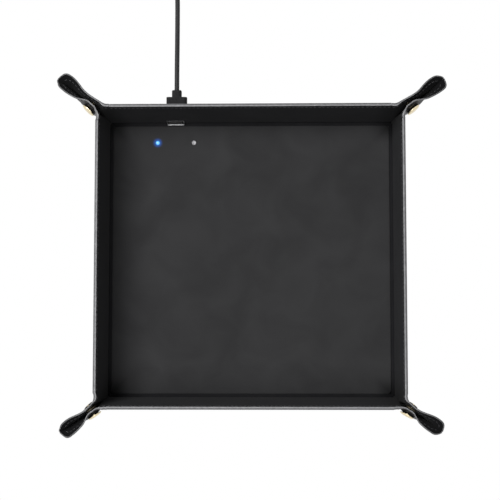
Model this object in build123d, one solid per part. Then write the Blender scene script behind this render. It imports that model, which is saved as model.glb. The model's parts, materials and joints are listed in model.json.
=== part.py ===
"""Valet tray whose four walls are held up by snapped corner ears, with a wireless charger in its base.

The tray is one flat sheet of leather and lining on a low base. Each wall turns on the crease along
its floor edge, and each corner square of the sheet is folded on its diagonal into two leaves, which
a brass snap pinches together. Every flexible piece is drawn flat and then turned up about its own
crease, so the leaves meet on the diagonal both when the tray stands and when it is laid flat.
Millimetres, +X to the right, +Y to the back where the lead plugs in, +Z up, origin under the base.
"""
from build123d import *
import math
import os

# Tray sheet and walls
floor_width = 205.0
floor_depth = 198.2
crease_strip = 3.0
wall_height = 40.5
lean_end = 7.5
lean_side = 5.5
sheet = 2.2
corner_radius = 13.0
crease_gap = 0.3
seam_gap = 0.15
hinge_gap = 0.3

# Wall stiffeners, between the leather and the lining
board_thickness = 0.8
board_from_crease = 2.6
board_from_rim = 4.0
board_from_seam = 5.0
board_gap = 0.2

# Ear leaves: the spoon shaped tip, how far each leaf bows outwards there, and over what part of a
# half wave from the crease to the edge
spoon_length = 17.9
spoon_rise = 12.0
spoon_bow = 2.8
spoon_wave = 0.6
section_shares = (0.0, 0.35, 0.7, 1.0)
leaf_start = 5.0
tip_clearance = 0.25
mitre_stock = 8.0

# Snap fasteners
snap_from_seam = 8.0
snap_from_rim = 10.5
cap_radius = 5.2
cap_height = 2.3
cap_bead = 0.5
post_radius = 1.5
post_gap = 0.1
socket_radius = 4.1
socket_height = 1.35
socket_bore = 2.35
socket_floor = 0.25
socket_chamfer = 0.35
stud_base_radius = 3.4
stud_base_height = 0.5
stud_neck_radius = 1.45
stud_neck_height = 0.5
stud_radius = 1.8
stud_head_height = 0.6
stud_crown_radius = 0.9
stud_reach = 2.35

# Base
base_height = 8.8
base_leather_thickness = 1.0
base_corner = 4.0
base_edge_round = 0.6
nose_end_gap = 0.5
core_top = 7.8
core_gap = 0.2
floor_lining_thickness = 1.1
strip_thickness = 0.4
floor_corner = 3.0

# Charger inside the base
charger_from_left = 46.5
case_width = 92.0
case_depth = 149.9
case_wall = 1.2
case_floor = 1.0
case_height = 5.7
case_corner = 6.0
lid_lip = 0.8
lid_lip_width = 1.0
lid_lip_gap = 0.15
boss_radius = 2.6
boss_inset = 6.0
screw_hole_radius = 0.8
coil_from_left = 39.5
coil_from_back = 95.1
coil_outer = 21.5
coil_inner = 10.5
coil_thickness = 1.2
ferrite_size = 50.0
ferrite_thickness = 0.8
ferrite_corner = 2.0
stack_gap = 0.1
cradle_radius = 2.0

# Circuit board: its lamps, and its chips as place from the middle, width, depth and height
board_width = 36.0
board_depth = 26.0
pcb_thickness = 1.0
pcb_lift = 1.0
pcb_gap = 0.3
pcb_post_inset = 3.0
lamp = (1.6, 0.8, 0.6)
lamp_air = 0.3
chips = ((-7.0, -7.0, 7.0, 7.0, 1.0), (6.0, -7.5, 5.0, 5.0, 0.9), (0.0, 0.0, 4.0, 3.0, 1.2))

# Indicator lenses
lens_spacing = 27.1
lens_from_back = 12.4
lens_radius = 1.6
lens_flange = 2.5
lens_flange_thickness = 0.9
lens_dome = 0.5
lens_gap = 0.15

# Power inlet and the plug that fits it
plug_z = 4.5
inlet_width = 8.94
inlet_height = 3.2
inlet_depth = 7.4
inlet_wall = 0.3
inlet_back = 0.6
inlet_fit = 0.1
mouth_gap = 0.3
plug_fit = 0.08
plug_shell_wall = 0.3
plug_shell_length = 6.3
plug_root = 1.0
tongue_width = 6.6
tongue_thickness = 0.7
tongue_length = 5.0
overmould_width = 15.5
overmould_height = 6.6
overmould_length = 19.8
overmould_edge = 2.0
overmould_gap = 0.15
notch_count = 3
notch_from_front = 6.0
notch_pitch = 2.4
notch_width = 1.0
notch_height = 4.0
notch_depth = 0.35
relief_radius = 3.6
relief_end_radius = 2.9
relief_height = 6.0
relief_length = 5.5
relief_groove = 0.45
relief_groove_width = 0.7

# Framed port at the foot of the back wall
port_width = 12.8
port_height = 5.7
port_wall = 0.5
port_corner = 0.9
port_foot = 1.4
port_proud = 1.3
port_gap = 0.15
insert_fit = 0.05
insert_thickness = 0.9
port_tongue_width = 9.0
port_tongue_thickness = 1.1
port_tongue_offset = 0.65
port_tongue_proud = 0.7

# Lead: straight out of the plug, down to the table, along it, and a gentle turn to the coil
cord_diameter = 3.6
lead_straight = 16.0
lead_drop = 26.0
lead_run = 42.0
lead_turn = 28.0
turn_share = 0.45
coil_pitch = 4.1
coil_turn_radius = 27.0
coil_half_turns = 7
coil_entry_turn = 12.0
climb_inset = 0.8

# End of the lead: steps ahead of the coil's end and to its left, then the far plug
tail_steps = ((13.0, 0.0), (27.0, 2.6), (40.0, 7.6))
far_relief_length = 9.0
far_relief_walls = (0.5, 1.3)
far_body = (15.6, 26.0, 7.8)
far_body_corner = 1.8
far_lift = 0.01
far_shell = (12.0, 12.5, 4.5)
far_shell_wall = 0.35
far_shell_corner = 0.4
far_shell_floor = 0.5
far_tongue = (11.0, 1.75)
far_tongue_gap = 0.1
far_tongue_short = 0.3

# Values worked out from the sizes above
ROOT2 = math.sqrt(2)
hinge_x = floor_width / 2 + crease_strip
hinge_y = floor_depth / 2 + crease_strip
sheet_low = base_height
sheet_mid = base_height + sheet / 2
sheet_top = base_height + sheet
up_end = 90 - lean_end
up_side = 90 - lean_side
seam_x = hinge_x - sheet / 2 / math.tan(math.radians(up_side / 2))
seam_y = hinge_y - sheet / 2 / math.tan(math.radians(up_end / 2))
nose_radius = sheet / 2
wall_start = nose_radius + hinge_gap
spoon_start = (wall_height - corner_radius) * ROOT2 + corner_radius - spoon_length
charger_x = charger_from_left - floor_width / 2
coil_x = coil_from_left - floor_width / 2
coil_y = floor_depth / 2 - coil_from_back
lens_y = floor_depth / 2 - lens_from_back
case_back = hinge_y - base_leather_thickness - core_gap
case_centre_y = case_back - case_depth / 2
case_half_width = case_width / 2
case_half_depth = case_depth / 2
case_low = base_leather_thickness
case_top = case_low + case_height
ferrite_low = case_top - stack_gap - coil_thickness - stack_gap - ferrite_thickness
pcb_low = case_low + case_floor + pcb_lift
pcb_y = case_back - case_wall - pcb_gap - board_depth / 2
port_back = sheet_mid - board_thickness / 2
plug_front = hinge_y + overmould_gap
plug_end = plug_front + overmould_length
relief_end = plug_end + relief_length
cord_radius = cord_diameter / 2

# Cutters go this far past the face that they open, or right through the part
PAST = 1.0
FAR = 400.0


def unit(v):
    """A vector of length one in the direction of v."""
    size = math.sqrt(sum(c * c for c in v))
    return tuple(c / size for c in v)


def fold_angles():
    """How far each leaf is turned out of its wall when the ear is pinched.

    The ear's crease leaves the floor corner at 45 degrees to both wall seams, as on the flat sheet.
    """
    end_seam = (0.0, math.sin(math.radians(lean_end)), math.cos(math.radians(lean_end)))
    side_seam = (math.sin(math.radians(lean_side)), 0.0, math.cos(math.radians(lean_side)))
    between = sum(a * b for a, b in zip(end_seam, side_seam))
    outward = unit(
        (
            end_seam[1] * side_seam[2],
            end_seam[2] * side_seam[0],
            -end_seam[1] * side_seam[0],
        )
    )
    along_seams = math.cos(math.radians(45)) / (1 + between)
    across = math.sqrt(between / (1 + between))
    crease = [along_seams * (a + b) + across * c for a, b, c in zip(end_seam, side_seam, outward)]
    angles = []
    for seam, axis in ((end_seam, 0), (side_seam, 1)):
        shared = sum(a * b for a, b in zip(crease, seam))
        rest = unit([a - shared * b for a, b in zip(crease, seam)])
        angles.append(math.degrees(math.acos(rest[axis])))
    return angles


leaf_turn_end, leaf_turn_side = fold_angles()


def box_between(low, high):
    """A box from its lowest corner to its highest."""
    size = [b - a for a, b in zip(low, high)]
    centre = [(a + b) / 2 for a, b in zip(low, high)]
    return Pos(*centre) * Box(*size)


def rounded_plate(half_x, half_y, radius, z0, z1, x=0.0, y=0.0):
    """A flat plate with rounded corners in plan."""
    outline = RectangleRounded(2 * half_x, 2 * half_y, radius)
    return Pos(x, y, z0) * extrude(outline, amount=z1 - z0)


def disc(radius, z0, z1, x=0.0, y=0.0):
    """A round plate standing on the XY plane."""
    return Pos(x, y, z0) * extrude(Circle(radius), amount=z1 - z0)


def slot_prism(width, height, y0, y1, x, z):
    """A bar along Y whose section is a flat slot shape, such as a plug shell."""
    outline = SlotOverall(width, height)
    return Pos(x, y0, z) * Rot(90, 0, 0) * extrude(outline, amount=-(y1 - y0))


def turn_up_end(shape):
    """Turns a flat piece of the back wall up about its floor crease."""
    return shape.rotate(Axis((0, hinge_y, sheet_mid), (1, 0, 0)), up_end)


def turn_up_side(shape):
    """Turns a flat piece of the right wall up about its floor crease."""
    return shape.rotate(Axis((hinge_x, 0, sheet_mid), (0, -1, 0)), up_side)


def fold_end_leaf(shape):
    """Folds a flat leaf of the back wall about its seam, then turns it up with the wall."""
    return turn_up_end(shape.rotate(Axis((seam_x, 0, sheet_top), (0, 1, 0)), leaf_turn_end))


def fold_side_leaf(shape):
    """Folds a flat leaf of the right wall about its seam, then turns it up with the wall."""
    return turn_up_side(shape.rotate(Axis((0, seam_y, sheet_top), (-1, 0, 0)), leaf_turn_side))


def wedge(at, angle, away):
    """The stock that a seam mitre takes off, as a long prism in a (distance, height) plane.

    away is +1 where the piece lies beyond the seam and -1 where it ends at the seam.
    """
    slope = math.tan(math.radians(angle / 2))
    clear = at + away * seam_gap
    stock = at - away * mitre_stock
    low, high = sheet_low - PAST, sheet_top + PAST
    return [
        (stock, low),
        (clear + away * (sheet + PAST) * slope, low),
        (clear - away * PAST * slope, high),
        (stock, high),
    ]


def cut_mitre(shape, at, angle, away, side):
    """Cuts a mitre along the seam, which runs along Y on the end walls and along X on the sides."""
    plane = Plane.XZ if side == "end" else Plane.YZ
    profile = make_face(Polyline(*wedge(at, angle, away), close=True))
    prism = extrude(plane * profile, amount=FAR, both=True)
    return shape - prism


def wall_layers(side):
    """Leather, board and lining of one wall, flat: the back wall, or the right wall for side."""
    if side == "end":
        half, hinge, turn = seam_x, hinge_y, leaf_turn_end
    else:
        half, hinge, turn = seam_y, hinge_x, leaf_turn_side
    rim = hinge + wall_height

    def slab(margin, low, high, z0, z1):
        if side == "end":
            return box_between((-half + margin, low, z0), (half - margin, high, z1))
        return box_between((low, -half + margin, z0), (high, half - margin, z1))

    board_low = hinge + board_from_crease
    board_high = rim - board_from_rim
    z_board = sheet_mid - board_thickness / 2
    board = slab(board_from_seam, board_low, board_high, z_board, z_board + board_thickness)
    pocket = slab(
        board_from_seam - board_gap,
        board_low - board_gap,
        board_high + board_gap,
        z_board,
        z_board + board_thickness,
    )
    layers = []
    for z0, z1 in ((sheet_low, sheet_mid), (sheet_mid, sheet_top)):
        layer = slab(0, hinge + wall_start, rim, z0, z1) - pocket
        for at, away in ((half, -1), (-half, 1)):
            layer = cut_mitre(layer, at, turn, away, side)
        layers.append(layer)
    return layers[0], board, layers[1]


def leaf_point(s, t, z, side):
    """A point of a flat leaf: s along the diagonal crease, t square to it, z up."""
    near, far = (s - t) / ROOT2, (s + t) / ROOT2
    if side == "end":
        return (seam_x + near, seam_y + far, z)
    return (seam_x + far, seam_y + near, z)


def leaf_reach(side):
    """Distance from the floor corner to the rim along the seam of a wall."""
    return wall_height + (hinge_y - seam_y if side == "end" else hinge_x - seam_x)


def leaf_edge(s, side):
    """How far the leaf reaches from the crease at a distance s along it."""
    reach = leaf_reach(side)
    centre = (reach - corner_radius) * ROOT2
    if s <= centre + corner_radius / ROOT2:
        return reach * ROOT2 - s
    return math.sqrt(max(corner_radius**2 - (s - centre) ** 2, 0))


def bow(s, share):
    """How far a leaf bows outwards, at s along the crease and a share of the way to its edge."""
    rise = min(max((s - spoon_start) / spoon_rise, 0), 1)
    return spoon_bow * rise * rise * (3 - 2 * rise) * math.sin(spoon_wave * math.pi * share)


def leaf_section(s, z0, z1, side):
    """The leaf's outline square to the crease at s."""
    edge = leaf_edge(s, side)
    lower = []
    upper = []
    for share in section_shares:
        t = crease_gap + share * (edge - crease_gap)
        lower.append(leaf_point(s, t, z0 - bow(s, share), side))
        upper.append(leaf_point(s, t, z1 - bow(s, share), side))
    return Wire.make_polygon([Vector(*p) for p in lower + upper[::-1]], close=True)


def leaf_layer(z0, z1, side):
    """One layer of a leaf, flat but for the bowed tip, with its seam mitre and snap hole."""
    reach = leaf_reach(side)
    edge = leaf_edge(spoon_start, side)
    corners = [
        leaf_point(leaf_start, crease_gap, z0, side),
        leaf_point(spoon_start, crease_gap, z0, side),
        leaf_point(spoon_start, edge, z0, side),
        leaf_point(reach / ROOT2, reach / ROOT2, z0, side),
        leaf_point(leaf_start, leaf_start, z0, side),
    ]
    plate = extrude(make_face(Polyline(*corners, close=True)), amount=z1 - z0, dir=(0, 0, 1))
    arc_start = (reach - corner_radius) * ROOT2 + corner_radius / ROOT2
    last = (reach - corner_radius) * ROOT2 + corner_radius - tip_clearance
    stations = [spoon_start + step * spoon_rise / 3 for step in range(4)]
    stations += [arc_start, arc_start + (last - arc_start) * 2 / 3, last]
    sections = [leaf_section(s, z0, z1, side) for s in stations]
    spoon = Solid.make_loft(sections, ruled=True)
    layer = plate + spoon
    x, y = snap_place(side)
    layer -= disc(post_radius + post_gap, sheet_low - PAST, sheet_top + PAST, x, y)
    if side == "end":
        return cut_mitre(layer, seam_x, leaf_turn_end, 1, side)
    return cut_mitre(layer, seam_y, leaf_turn_side, 1, side)


def snap_place(side):
    """Where the snap's post goes through the flat leaf."""
    up = wall_height - snap_from_rim
    if side == "end":
        return seam_x + snap_from_seam, seam_y + up
    return seam_x + up, seam_y + snap_from_seam


def snap_cap():
    """Domed cap with a rolled edge and the post that goes through the leaf; Z up, leaf at Z 0."""
    edge = cap_radius - cap_bead
    rise = cap_height - 2 * cap_bead
    ball = (edge**2 + rise**2) / (2 * rise)
    half = math.asin(edge / ball) / 2
    middle = (ball * math.sin(half), cap_height - ball * (1 - math.cos(half)))
    section = [
        Line((0, 0), (edge, 0)),
        ThreePointArc((edge, 0), (cap_radius, cap_bead), (edge, 2 * cap_bead)),
        ThreePointArc((edge, 2 * cap_bead), middle, (0, cap_height)),
        Line((0, cap_height), (0, 0)),
    ]
    cap = revolve(Plane.XZ * make_face(Curve() + section), Axis.Z)
    return cap + disc(post_radius, -sheet, 0.0)


def snap_socket():
    """Ring that the stud clicks into, crimped on the end of the post; the leaf is at Z 0."""
    ring = disc(socket_radius, 0, socket_height)
    ring = chamfer(ring.edges().sort_by(Axis.Z)[-1], socket_chamfer)
    return ring - disc(socket_bore, socket_floor, socket_height)


def snap_stud():
    """Stud with a waisted neck, crimped on the end of the other post; the leaf is at Z 0."""
    neck_top = stud_base_height + stud_neck_height
    head = stud_reach - stud_head_height
    shoulder = (
        stud_crown_radius + (stud_radius - stud_crown_radius) / ROOT2,
        head + stud_head_height / ROOT2,
    )
    lines = [
        Line((0, 0), (stud_base_radius, 0)),
        Line((stud_base_radius, 0), (stud_base_radius, stud_base_height)),
        Line((stud_base_radius, stud_base_height), (stud_neck_radius, stud_base_height)),
        Line((stud_neck_radius, stud_base_height), (stud_neck_radius, neck_top)),
        Line((stud_neck_radius, neck_top), (stud_radius, head)),
        ThreePointArc((stud_radius, head), shoulder, (stud_crown_radius, stud_reach)),
        Line((stud_crown_radius, stud_reach), (0, stud_reach)),
        Line((0, stud_reach), (0, 0)),
    ]
    return revolve(Plane.XZ * make_face(Curve() + lines), Axis.Z)


def snap_half(side):
    """The cap outside a leaf and the stud or socket inside it, on the flat sheet."""
    x, y = snap_place(side)
    inner = snap_stud() if side == "end" else snap_socket()
    cap = Pos(x, y, sheet_low) * Rot(180, 0, 0) * snap_cap()
    return [cap, Pos(x, y, sheet_top) * inner]


def base_leather():
    """Shallow leather pan under the base, with the rounded nose that the walls turn on."""
    pan = rounded_plate(hinge_x, hinge_y, base_corner, 0, sheet_mid)
    pan = fillet(pan.faces().sort_by(Axis.Z)[0].edges(), base_edge_round)
    t = base_leather_thickness
    pan -= rounded_plate(hinge_x - t, hinge_y - t, base_corner - t, t, sheet_mid)
    length_x = 2 * (hinge_x - base_corner - nose_end_gap)
    length_y = 2 * (hinge_y - base_corner - nose_end_gap)
    for sign in (-1, 1):
        end = Rot(45, 0, 0) * Rot(0, 90, 0) * Cylinder(nose_radius, length_x)
        side = Rot(0, 45, 0) * Rot(90, 0, 0) * Cylinder(nose_radius, length_y)
        pan += Pos(0, sign * hinge_y, sheet_mid) * end
        pan += Pos(sign * hinge_x, 0, sheet_mid) * side
    mouth = slot_prism(
        inlet_width + 2 * mouth_gap,
        inlet_height + 2 * mouth_gap,
        hinge_y - t - PAST,
        hinge_y + PAST,
        charger_x,
        plug_z,
    )
    return pan - mouth


def base_core():
    """Foam board that fills the base round the charger."""
    half_x = hinge_x - base_leather_thickness - core_gap
    half_y = hinge_y - base_leather_thickness - core_gap
    core = rounded_plate(half_x, half_y, base_corner - base_leather_thickness, case_low, core_top)
    pocket = rounded_plate(
        case_half_width + core_gap,
        case_half_depth + core_gap,
        case_corner + core_gap,
        case_low - PAST,
        core_top + PAST,
        charger_x,
        case_centre_y,
    )
    straight = case_half_width - case_corner
    pocket += box_between(
        (charger_x - straight, case_back - 2 * case_corner, case_low - PAST),
        (charger_x + straight, case_back + PAST, core_top + PAST),
    )
    return core - pocket


def boss_places():
    """Centres of the four screw bosses in the charger case."""
    return [
        (
            charger_x + sx * (case_half_width - boss_inset),
            case_centre_y + sy * (case_half_depth - boss_inset),
        )
        for sx in (-1, 1)
        for sy in (-1, 1)
    ]


def case_block(inset, z0, z1):
    """A plate with the outline of the charger case, drawn in by an inset."""
    return rounded_plate(case_half_width - inset, case_half_depth - inset, case_corner - inset,
                         z0, z1, charger_x, case_centre_y)


def charger_case():
    """Moulded case with bosses, the coil cradle and the circuit board posts."""
    floor = case_low + case_floor
    case = case_block(0, case_low, case_top) - case_block(case_wall, floor, case_top + PAST)
    for x, y in boss_places():
        case += disc(boss_radius, floor, case_top, x, y)
        case -= disc(screw_hole_radius, floor, case_top, x, y)
    cradle = ferrite_size / 2 - cradle_radius
    for sx in (-1, 1):
        for sy in (-1, 1):
            case += disc(cradle_radius, floor, ferrite_low, coil_x + sx * cradle, coil_y + sy * cradle)
            case += disc(cradle_radius, floor, pcb_low,
                         charger_x + sx * (board_width / 2 - pcb_post_inset),
                         pcb_y + sy * (board_depth / 2 - pcb_post_inset))
    mouth = slot_prism(inlet_width + 2 * inlet_fit, inlet_height + 2 * inlet_fit,
                       case_back - case_wall - PAST, case_back + PAST, charger_x, plug_z)
    return case - mouth


def charger_lid():
    """Lid of the charger case, with its locating lip and the two lens holes."""
    gap = case_wall + lid_lip_gap
    inner = gap + lid_lip_width
    below = case_top - lid_lip - PAST
    lip = case_block(gap, case_top - lid_lip, case_top) - case_block(inner, below, case_top)
    for x, y in boss_places():
        lip -= disc(boss_radius + lid_lip_gap, below, case_top, x, y)
    lip -= box_between((charger_x - board_width / 2, case_back - inner - PAST, below),
                       (charger_x + board_width / 2, case_back, case_top))
    return cut_lens_holes(case_block(0, case_top, core_top) + lip)


def lens_places():
    """Centres of the two lenses, left one first."""
    return [(charger_x + sign * lens_spacing / 2, lens_y) for sign in (-1, 1)]


def cut_lens_holes(shape):
    """Takes the two lens holes out of a plate."""
    for x, y in lens_places():
        shape -= disc(lens_radius + lens_gap, 0, sheet_top + PAST, x, y)
    return shape


def ferrite_plate():
    """Square plate that screens the board from the coil."""
    return rounded_plate(ferrite_size / 2, ferrite_size / 2, ferrite_corner, ferrite_low,
                         ferrite_low + ferrite_thickness, coil_x, coil_y)


def charging_coil():
    """Flat winding, as a ring on the ferrite plate."""
    low = ferrite_low + ferrite_thickness + stack_gap
    ring = disc(coil_outer, low, low + coil_thickness, coil_x, coil_y)
    return ring - disc(coil_inner, low, low + coil_thickness, coil_x, coil_y)


def circuit_board():
    """Board with a notch for the inlet, the two lamps under the lenses and the main chips."""
    low, high = pcb_low, pcb_low + pcb_thickness
    back = pcb_y + board_depth / 2
    board = box_between((charger_x - board_width / 2, back - board_depth, low),
                        (charger_x + board_width / 2, back, high))
    notch = inlet_width / 2 + pcb_gap
    board -= box_between((charger_x - notch, back - inlet_depth, low), (charger_x + notch, back, high))
    parts = [(x, y, *lamp) for x, y in lens_places()]
    parts += [(charger_x + dx, pcb_y + dy, *size) for dx, dy, *size in chips]
    for x, y, wide, deep, tall in parts:
        board += box_between((x - wide / 2, y - deep / 2, high), (x + wide / 2, y + deep / 2, high + tall))
    return board


def power_inlet():
    """Socket that the plug enters: a flat slot shaped shell with a tongue inside."""
    back = case_back - inlet_depth
    shell = slot_prism(inlet_width, inlet_height, back, case_back, charger_x, plug_z)
    shell -= slot_prism(inlet_width - 2 * inlet_wall, inlet_height - 2 * inlet_wall,
                        back + inlet_back, case_back + PAST, charger_x, plug_z)
    shell += box_between((charger_x - tongue_width / 2, back, plug_z - tongue_thickness / 2),
                         (charger_x + tongue_width / 2, back + inlet_back + tongue_length,
                          plug_z + tongue_thickness / 2))
    return shell


def lens(index):
    """Light pipe from the lamp on the board up to a low dome in the floor."""
    x, y = lens_places()[index]
    foot = pcb_low + pcb_thickness + lamp[2] + lamp_air
    pipe = disc(lens_radius, foot, sheet_top, x, y)
    flange_top = case_top - stack_gap
    pipe += disc(lens_flange, flange_top - lens_flange_thickness, flange_top, x, y)
    ball = (lens_radius**2 + lens_dome**2) / (2 * lens_dome)
    dome = Pos(x, y, sheet_top + lens_dome - ball) * Sphere(ball)
    dome &= disc(lens_radius + PAST, sheet_top, sheet_top + lens_dome + PAST, x, y)
    return pipe + dome


def floor_board():
    """Stiff board between the charger and the lining."""
    plate = rounded_plate(floor_width / 2, floor_depth / 2, floor_corner, core_top,
                          sheet_top - floor_lining_thickness)
    return cut_lens_holes(plate)


def floor_lining():
    """Lining over the floor, which drops to a thin strip along the creases."""
    low = sheet_top - floor_lining_thickness
    plate = rounded_plate(floor_width / 2, floor_depth / 2, floor_corner, low, sheet_top)
    to_strip = nose_radius + hinge_gap
    plate += rounded_plate(hinge_x - to_strip, hinge_y - to_strip, floor_corner, low,
                           low + strip_thickness)
    return cut_lens_holes(plate)


def port_box(grow, v0, v1):
    """A block in the flat back wall at the framed port, from height v0 to v1 of the sheet."""
    low = hinge_y + port_foot
    return box_between(
        (charger_x - port_width / 2 - grow, low - grow, v0),
        (charger_x + port_width / 2 + grow, low + port_height + grow, v1),
    )


def port_shell():
    """Metal frame of the port."""
    front = sheet_top + port_proud
    shell = port_box(0, port_back, front)
    shell = fillet(shell.edges().filter_by(Axis.Z), port_corner)
    opening = port_box(-port_wall, port_back - PAST, front + PAST)
    return shell - fillet(opening.edges().filter_by(Axis.Z), port_corner - port_wall)


def port_insert():
    """Plastic floor and tongue inside the frame."""
    inset = port_wall + insert_fit
    insert = port_box(-inset, port_back, port_back + insert_thickness)
    insert = fillet(insert.edges().filter_by(Axis.Z), port_corner - inset)
    foot = hinge_y + port_foot + port_height / 2 + port_tongue_offset - port_tongue_thickness / 2
    tongue = box_between(
        (charger_x - port_tongue_width / 2, foot, port_back),
        (charger_x + port_tongue_width / 2, foot + port_tongue_thickness, sheet_top + port_tongue_proud),
    )
    return insert + tongue


def plug_section(inset, y0, y1):
    """A bar with the outline of the plug's metal nose, drawn in by an inset."""
    slack = 2 * (inlet_wall + plug_fit + inset)
    return slot_prism(inlet_width - slack, inlet_height - slack, y0, y1, charger_x, plug_z)


def plug_shell():
    """Metal nose of the plug, hollow for the inlet's tongue."""
    tip = plug_front - plug_shell_length
    hollow = plug_section(plug_shell_wall, tip - PAST, plug_front + plug_root / 2)
    return plug_section(0, tip, plug_front + plug_root) - hollow


def plug_overmould():
    """Moulded grip of the plug, with finger notches down both sides."""
    body = box_between(
        (charger_x - overmould_width / 2, plug_front, plug_z - overmould_height / 2),
        (charger_x + overmould_width / 2, plug_end, plug_z + overmould_height / 2),
    )
    body = fillet(body.edges().filter_by(Axis.Y), overmould_edge)
    for row in range(notch_count):
        y = plug_front + notch_from_front + notch_pitch * row
        for sign in (-1, 1):
            x = charger_x + sign * overmould_width / 2
            body -= box_between((x - notch_depth, y, plug_z - notch_height / 2),
                                (x + notch_depth, y + notch_width, plug_z + notch_height / 2))
    return body - plug_section(0, plug_front - PAST, plug_front + plug_root)


def grooved_sleeve(y0, length, start_radius, end_radius, grooves):
    """Tapered sleeve round the cord along Y, with ring grooves."""
    sleeve = Solid.make_cone(start_radius, end_radius, length, Plane((0, 0, 0), z_dir=(0, 1, 0)))
    sleeve = Pos(0, y0, 0) * sleeve
    step = length / (grooves + 1)
    for index in range(grooves):
        place = Pos(0, y0 + step * (index + 1), 0) * Rot(90, 0, 0)
        ring = Cylinder(start_radius + PAST, relief_groove_width)
        ring -= Cylinder(end_radius - relief_groove, relief_groove_width)
        sleeve -= place * ring
    return sleeve


def strain_relief():
    """Sleeve behind the grip, flattened a little above and below."""
    sleeve = Pos(charger_x, 0, plug_z) * grooved_sleeve(
        plug_end, relief_length, relief_radius, relief_end_radius, 1
    )
    width = relief_radius + PAST
    return sleeve & box_between((charger_x - width, plug_end, plug_z - relief_height / 2),
                                (charger_x + width, relief_end, plug_z + relief_height / 2))


def along(point, direction, distance):
    """A point moved by a distance in a direction."""
    return tuple(a + distance * b for a, b in zip(point, direction))


def biarc(p0, t0, p1, t1):
    """Two arcs that leave p0 along t0 and reach p1 along t1."""
    p0, t0, p1, t1 = Vector(*p0), Vector(*t0), Vector(*p1), Vector(*t1)
    v = p1 - p0
    t = t0 + t1
    a = 2 * (t0.dot(t1) - 1)
    b = -2 * v.dot(t)
    c = v.dot(v)
    if abs(b) < 1e-9:
        reach = math.sqrt(-c / a)
    else:
        reach = (-b - math.sqrt(b * b - 4 * a * c)) / (2 * a)
    middle = (p0 + t0 * reach + p1 - t1 * reach) * 0.5
    first = Edge.make_tangent_arc(p0, t0, middle)
    second = Edge.make_tangent_arc(middle, first % 1, p1)
    return [first, second]


# Route of the lead, from the strain relief to where the coil begins
entry_angle = math.radians(coil_entry_turn)
entry_direction = (-math.sin(entry_angle), math.cos(entry_angle), 0.0)
lead_points = [
    (charger_x, relief_end, plug_z),
    (charger_x, relief_end + lead_straight, plug_z),
    (charger_x, relief_end + lead_straight + lead_drop, cord_radius),
    (charger_x, relief_end + lead_straight + lead_drop + lead_run, cord_radius),
]
coil_start = along(lead_points[-1], entry_direction, lead_turn)
lead_points.append(along(coil_start, entry_direction, -cord_diameter))
coil_centre = (
    coil_start[0] - coil_turn_radius * math.cos(entry_angle),
    coil_start[1] - coil_turn_radius * math.sin(entry_angle),
)


def coil_stations():
    """Point and heading at each half turn: in on the lower layer, out on the upper one."""
    stations = []
    for step in range(2 * coil_half_turns + 1):
        inward = min(step, 2 * coil_half_turns + 1 - step)
        radius = coil_turn_radius - inward * coil_pitch / 2
        if inward == coil_half_turns:
            radius -= climb_inset
        z = cord_radius if step <= coil_half_turns else cord_radius + coil_pitch
        angle = entry_angle + step * math.pi
        out = (math.cos(angle), math.sin(angle))
        point = (coil_centre[0] + radius * out[0], coil_centre[1] + radius * out[1], z)
        stations.append((point, (-out[1], out[0], 0.0)))
    return stations


stations = coil_stations()
coil_end, end_direction = stations[-1]
tail_start = along(coil_end, end_direction, cord_diameter)


def coil_path():
    """Centre line of the coil, with one diameter of straight cord at each end."""
    start, heading = stations[0]
    edges = [Edge.make_line(along(start, heading, -cord_diameter), start)]
    for (p0, t0), (p1, t1) in zip(stations, stations[1:]):
        edges += biarc(p0, t0, p1, t1)
    edges.append(Edge.make_line(coil_end, tail_start))
    return Wire(edges)


def turn_radii(points):
    """Arc radius at each inner point: as large as its two runs allow."""
    radii = []
    for a, b, c in zip(points, points[1:], points[2:]):
        before = Vector(*b) - Vector(*a)
        after = Vector(*c) - Vector(*b)
        turn = math.radians(before.get_angle(after))
        radii.append(turn_share * min(before.length, after.length) / math.tan(turn / 2))
    return radii


def tube(path):
    """A round tube of the cord's diameter along a path."""
    section = Plane(origin=path @ 0, z_dir=path % 0) * Circle(cord_radius)
    return sweep(section, path=path)


def cord_tube(points):
    """Tube along straight runs joined by tangent arcs."""
    radii = turn_radii(points)
    path = FilletPolyline(*points, radius=radii)
    shape = tube(path)
    section = math.pi * cord_radius**2
    print("cord radii", [round(r, 1) for r in radii], "length", round(path.length, 1),
          "volume share", round(shape.volume / (section * path.length), 4))
    return shape, path.length


def tail_points():
    """Route from the end of the coil to the far plug, whose middle height it ends at."""
    left = (-end_direction[1], end_direction[0], 0.0)
    points = [tail_start]
    for (ahead, aside), z in zip(tail_steps, (tail_start[2], far_body[2] / 2, far_body[2] / 2)):
        x, y, _ = along(along(tail_start, end_direction, ahead), left, aside)
        points.append((x, y, z))
    return points


def far_frame():
    """Plane at the end of the tail, with Z along the cord and Y up."""
    before, last = [Vector(*point) for point in tail_points()[-2:]]
    heading = (last - before).normalized()
    return Plane(origin=last, x_dir=Vector(0, 0, 1).cross(heading), z_dir=heading)


def far_relief():
    """Tapered sleeve where the cord enters the far plug."""
    start, end = [cord_radius + wall for wall in far_relief_walls]
    return Solid.make_cone(start, end, far_relief_length, far_frame())


def far_plug_body():
    """Moulded grip of the far plug, lying flat."""
    width, length, height = far_body
    block = extrude(RectangleRounded(width, height - 2 * far_lift, far_body_corner), amount=length)
    return far_frame() * Pos(0, 0, far_relief_length) * block


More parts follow.
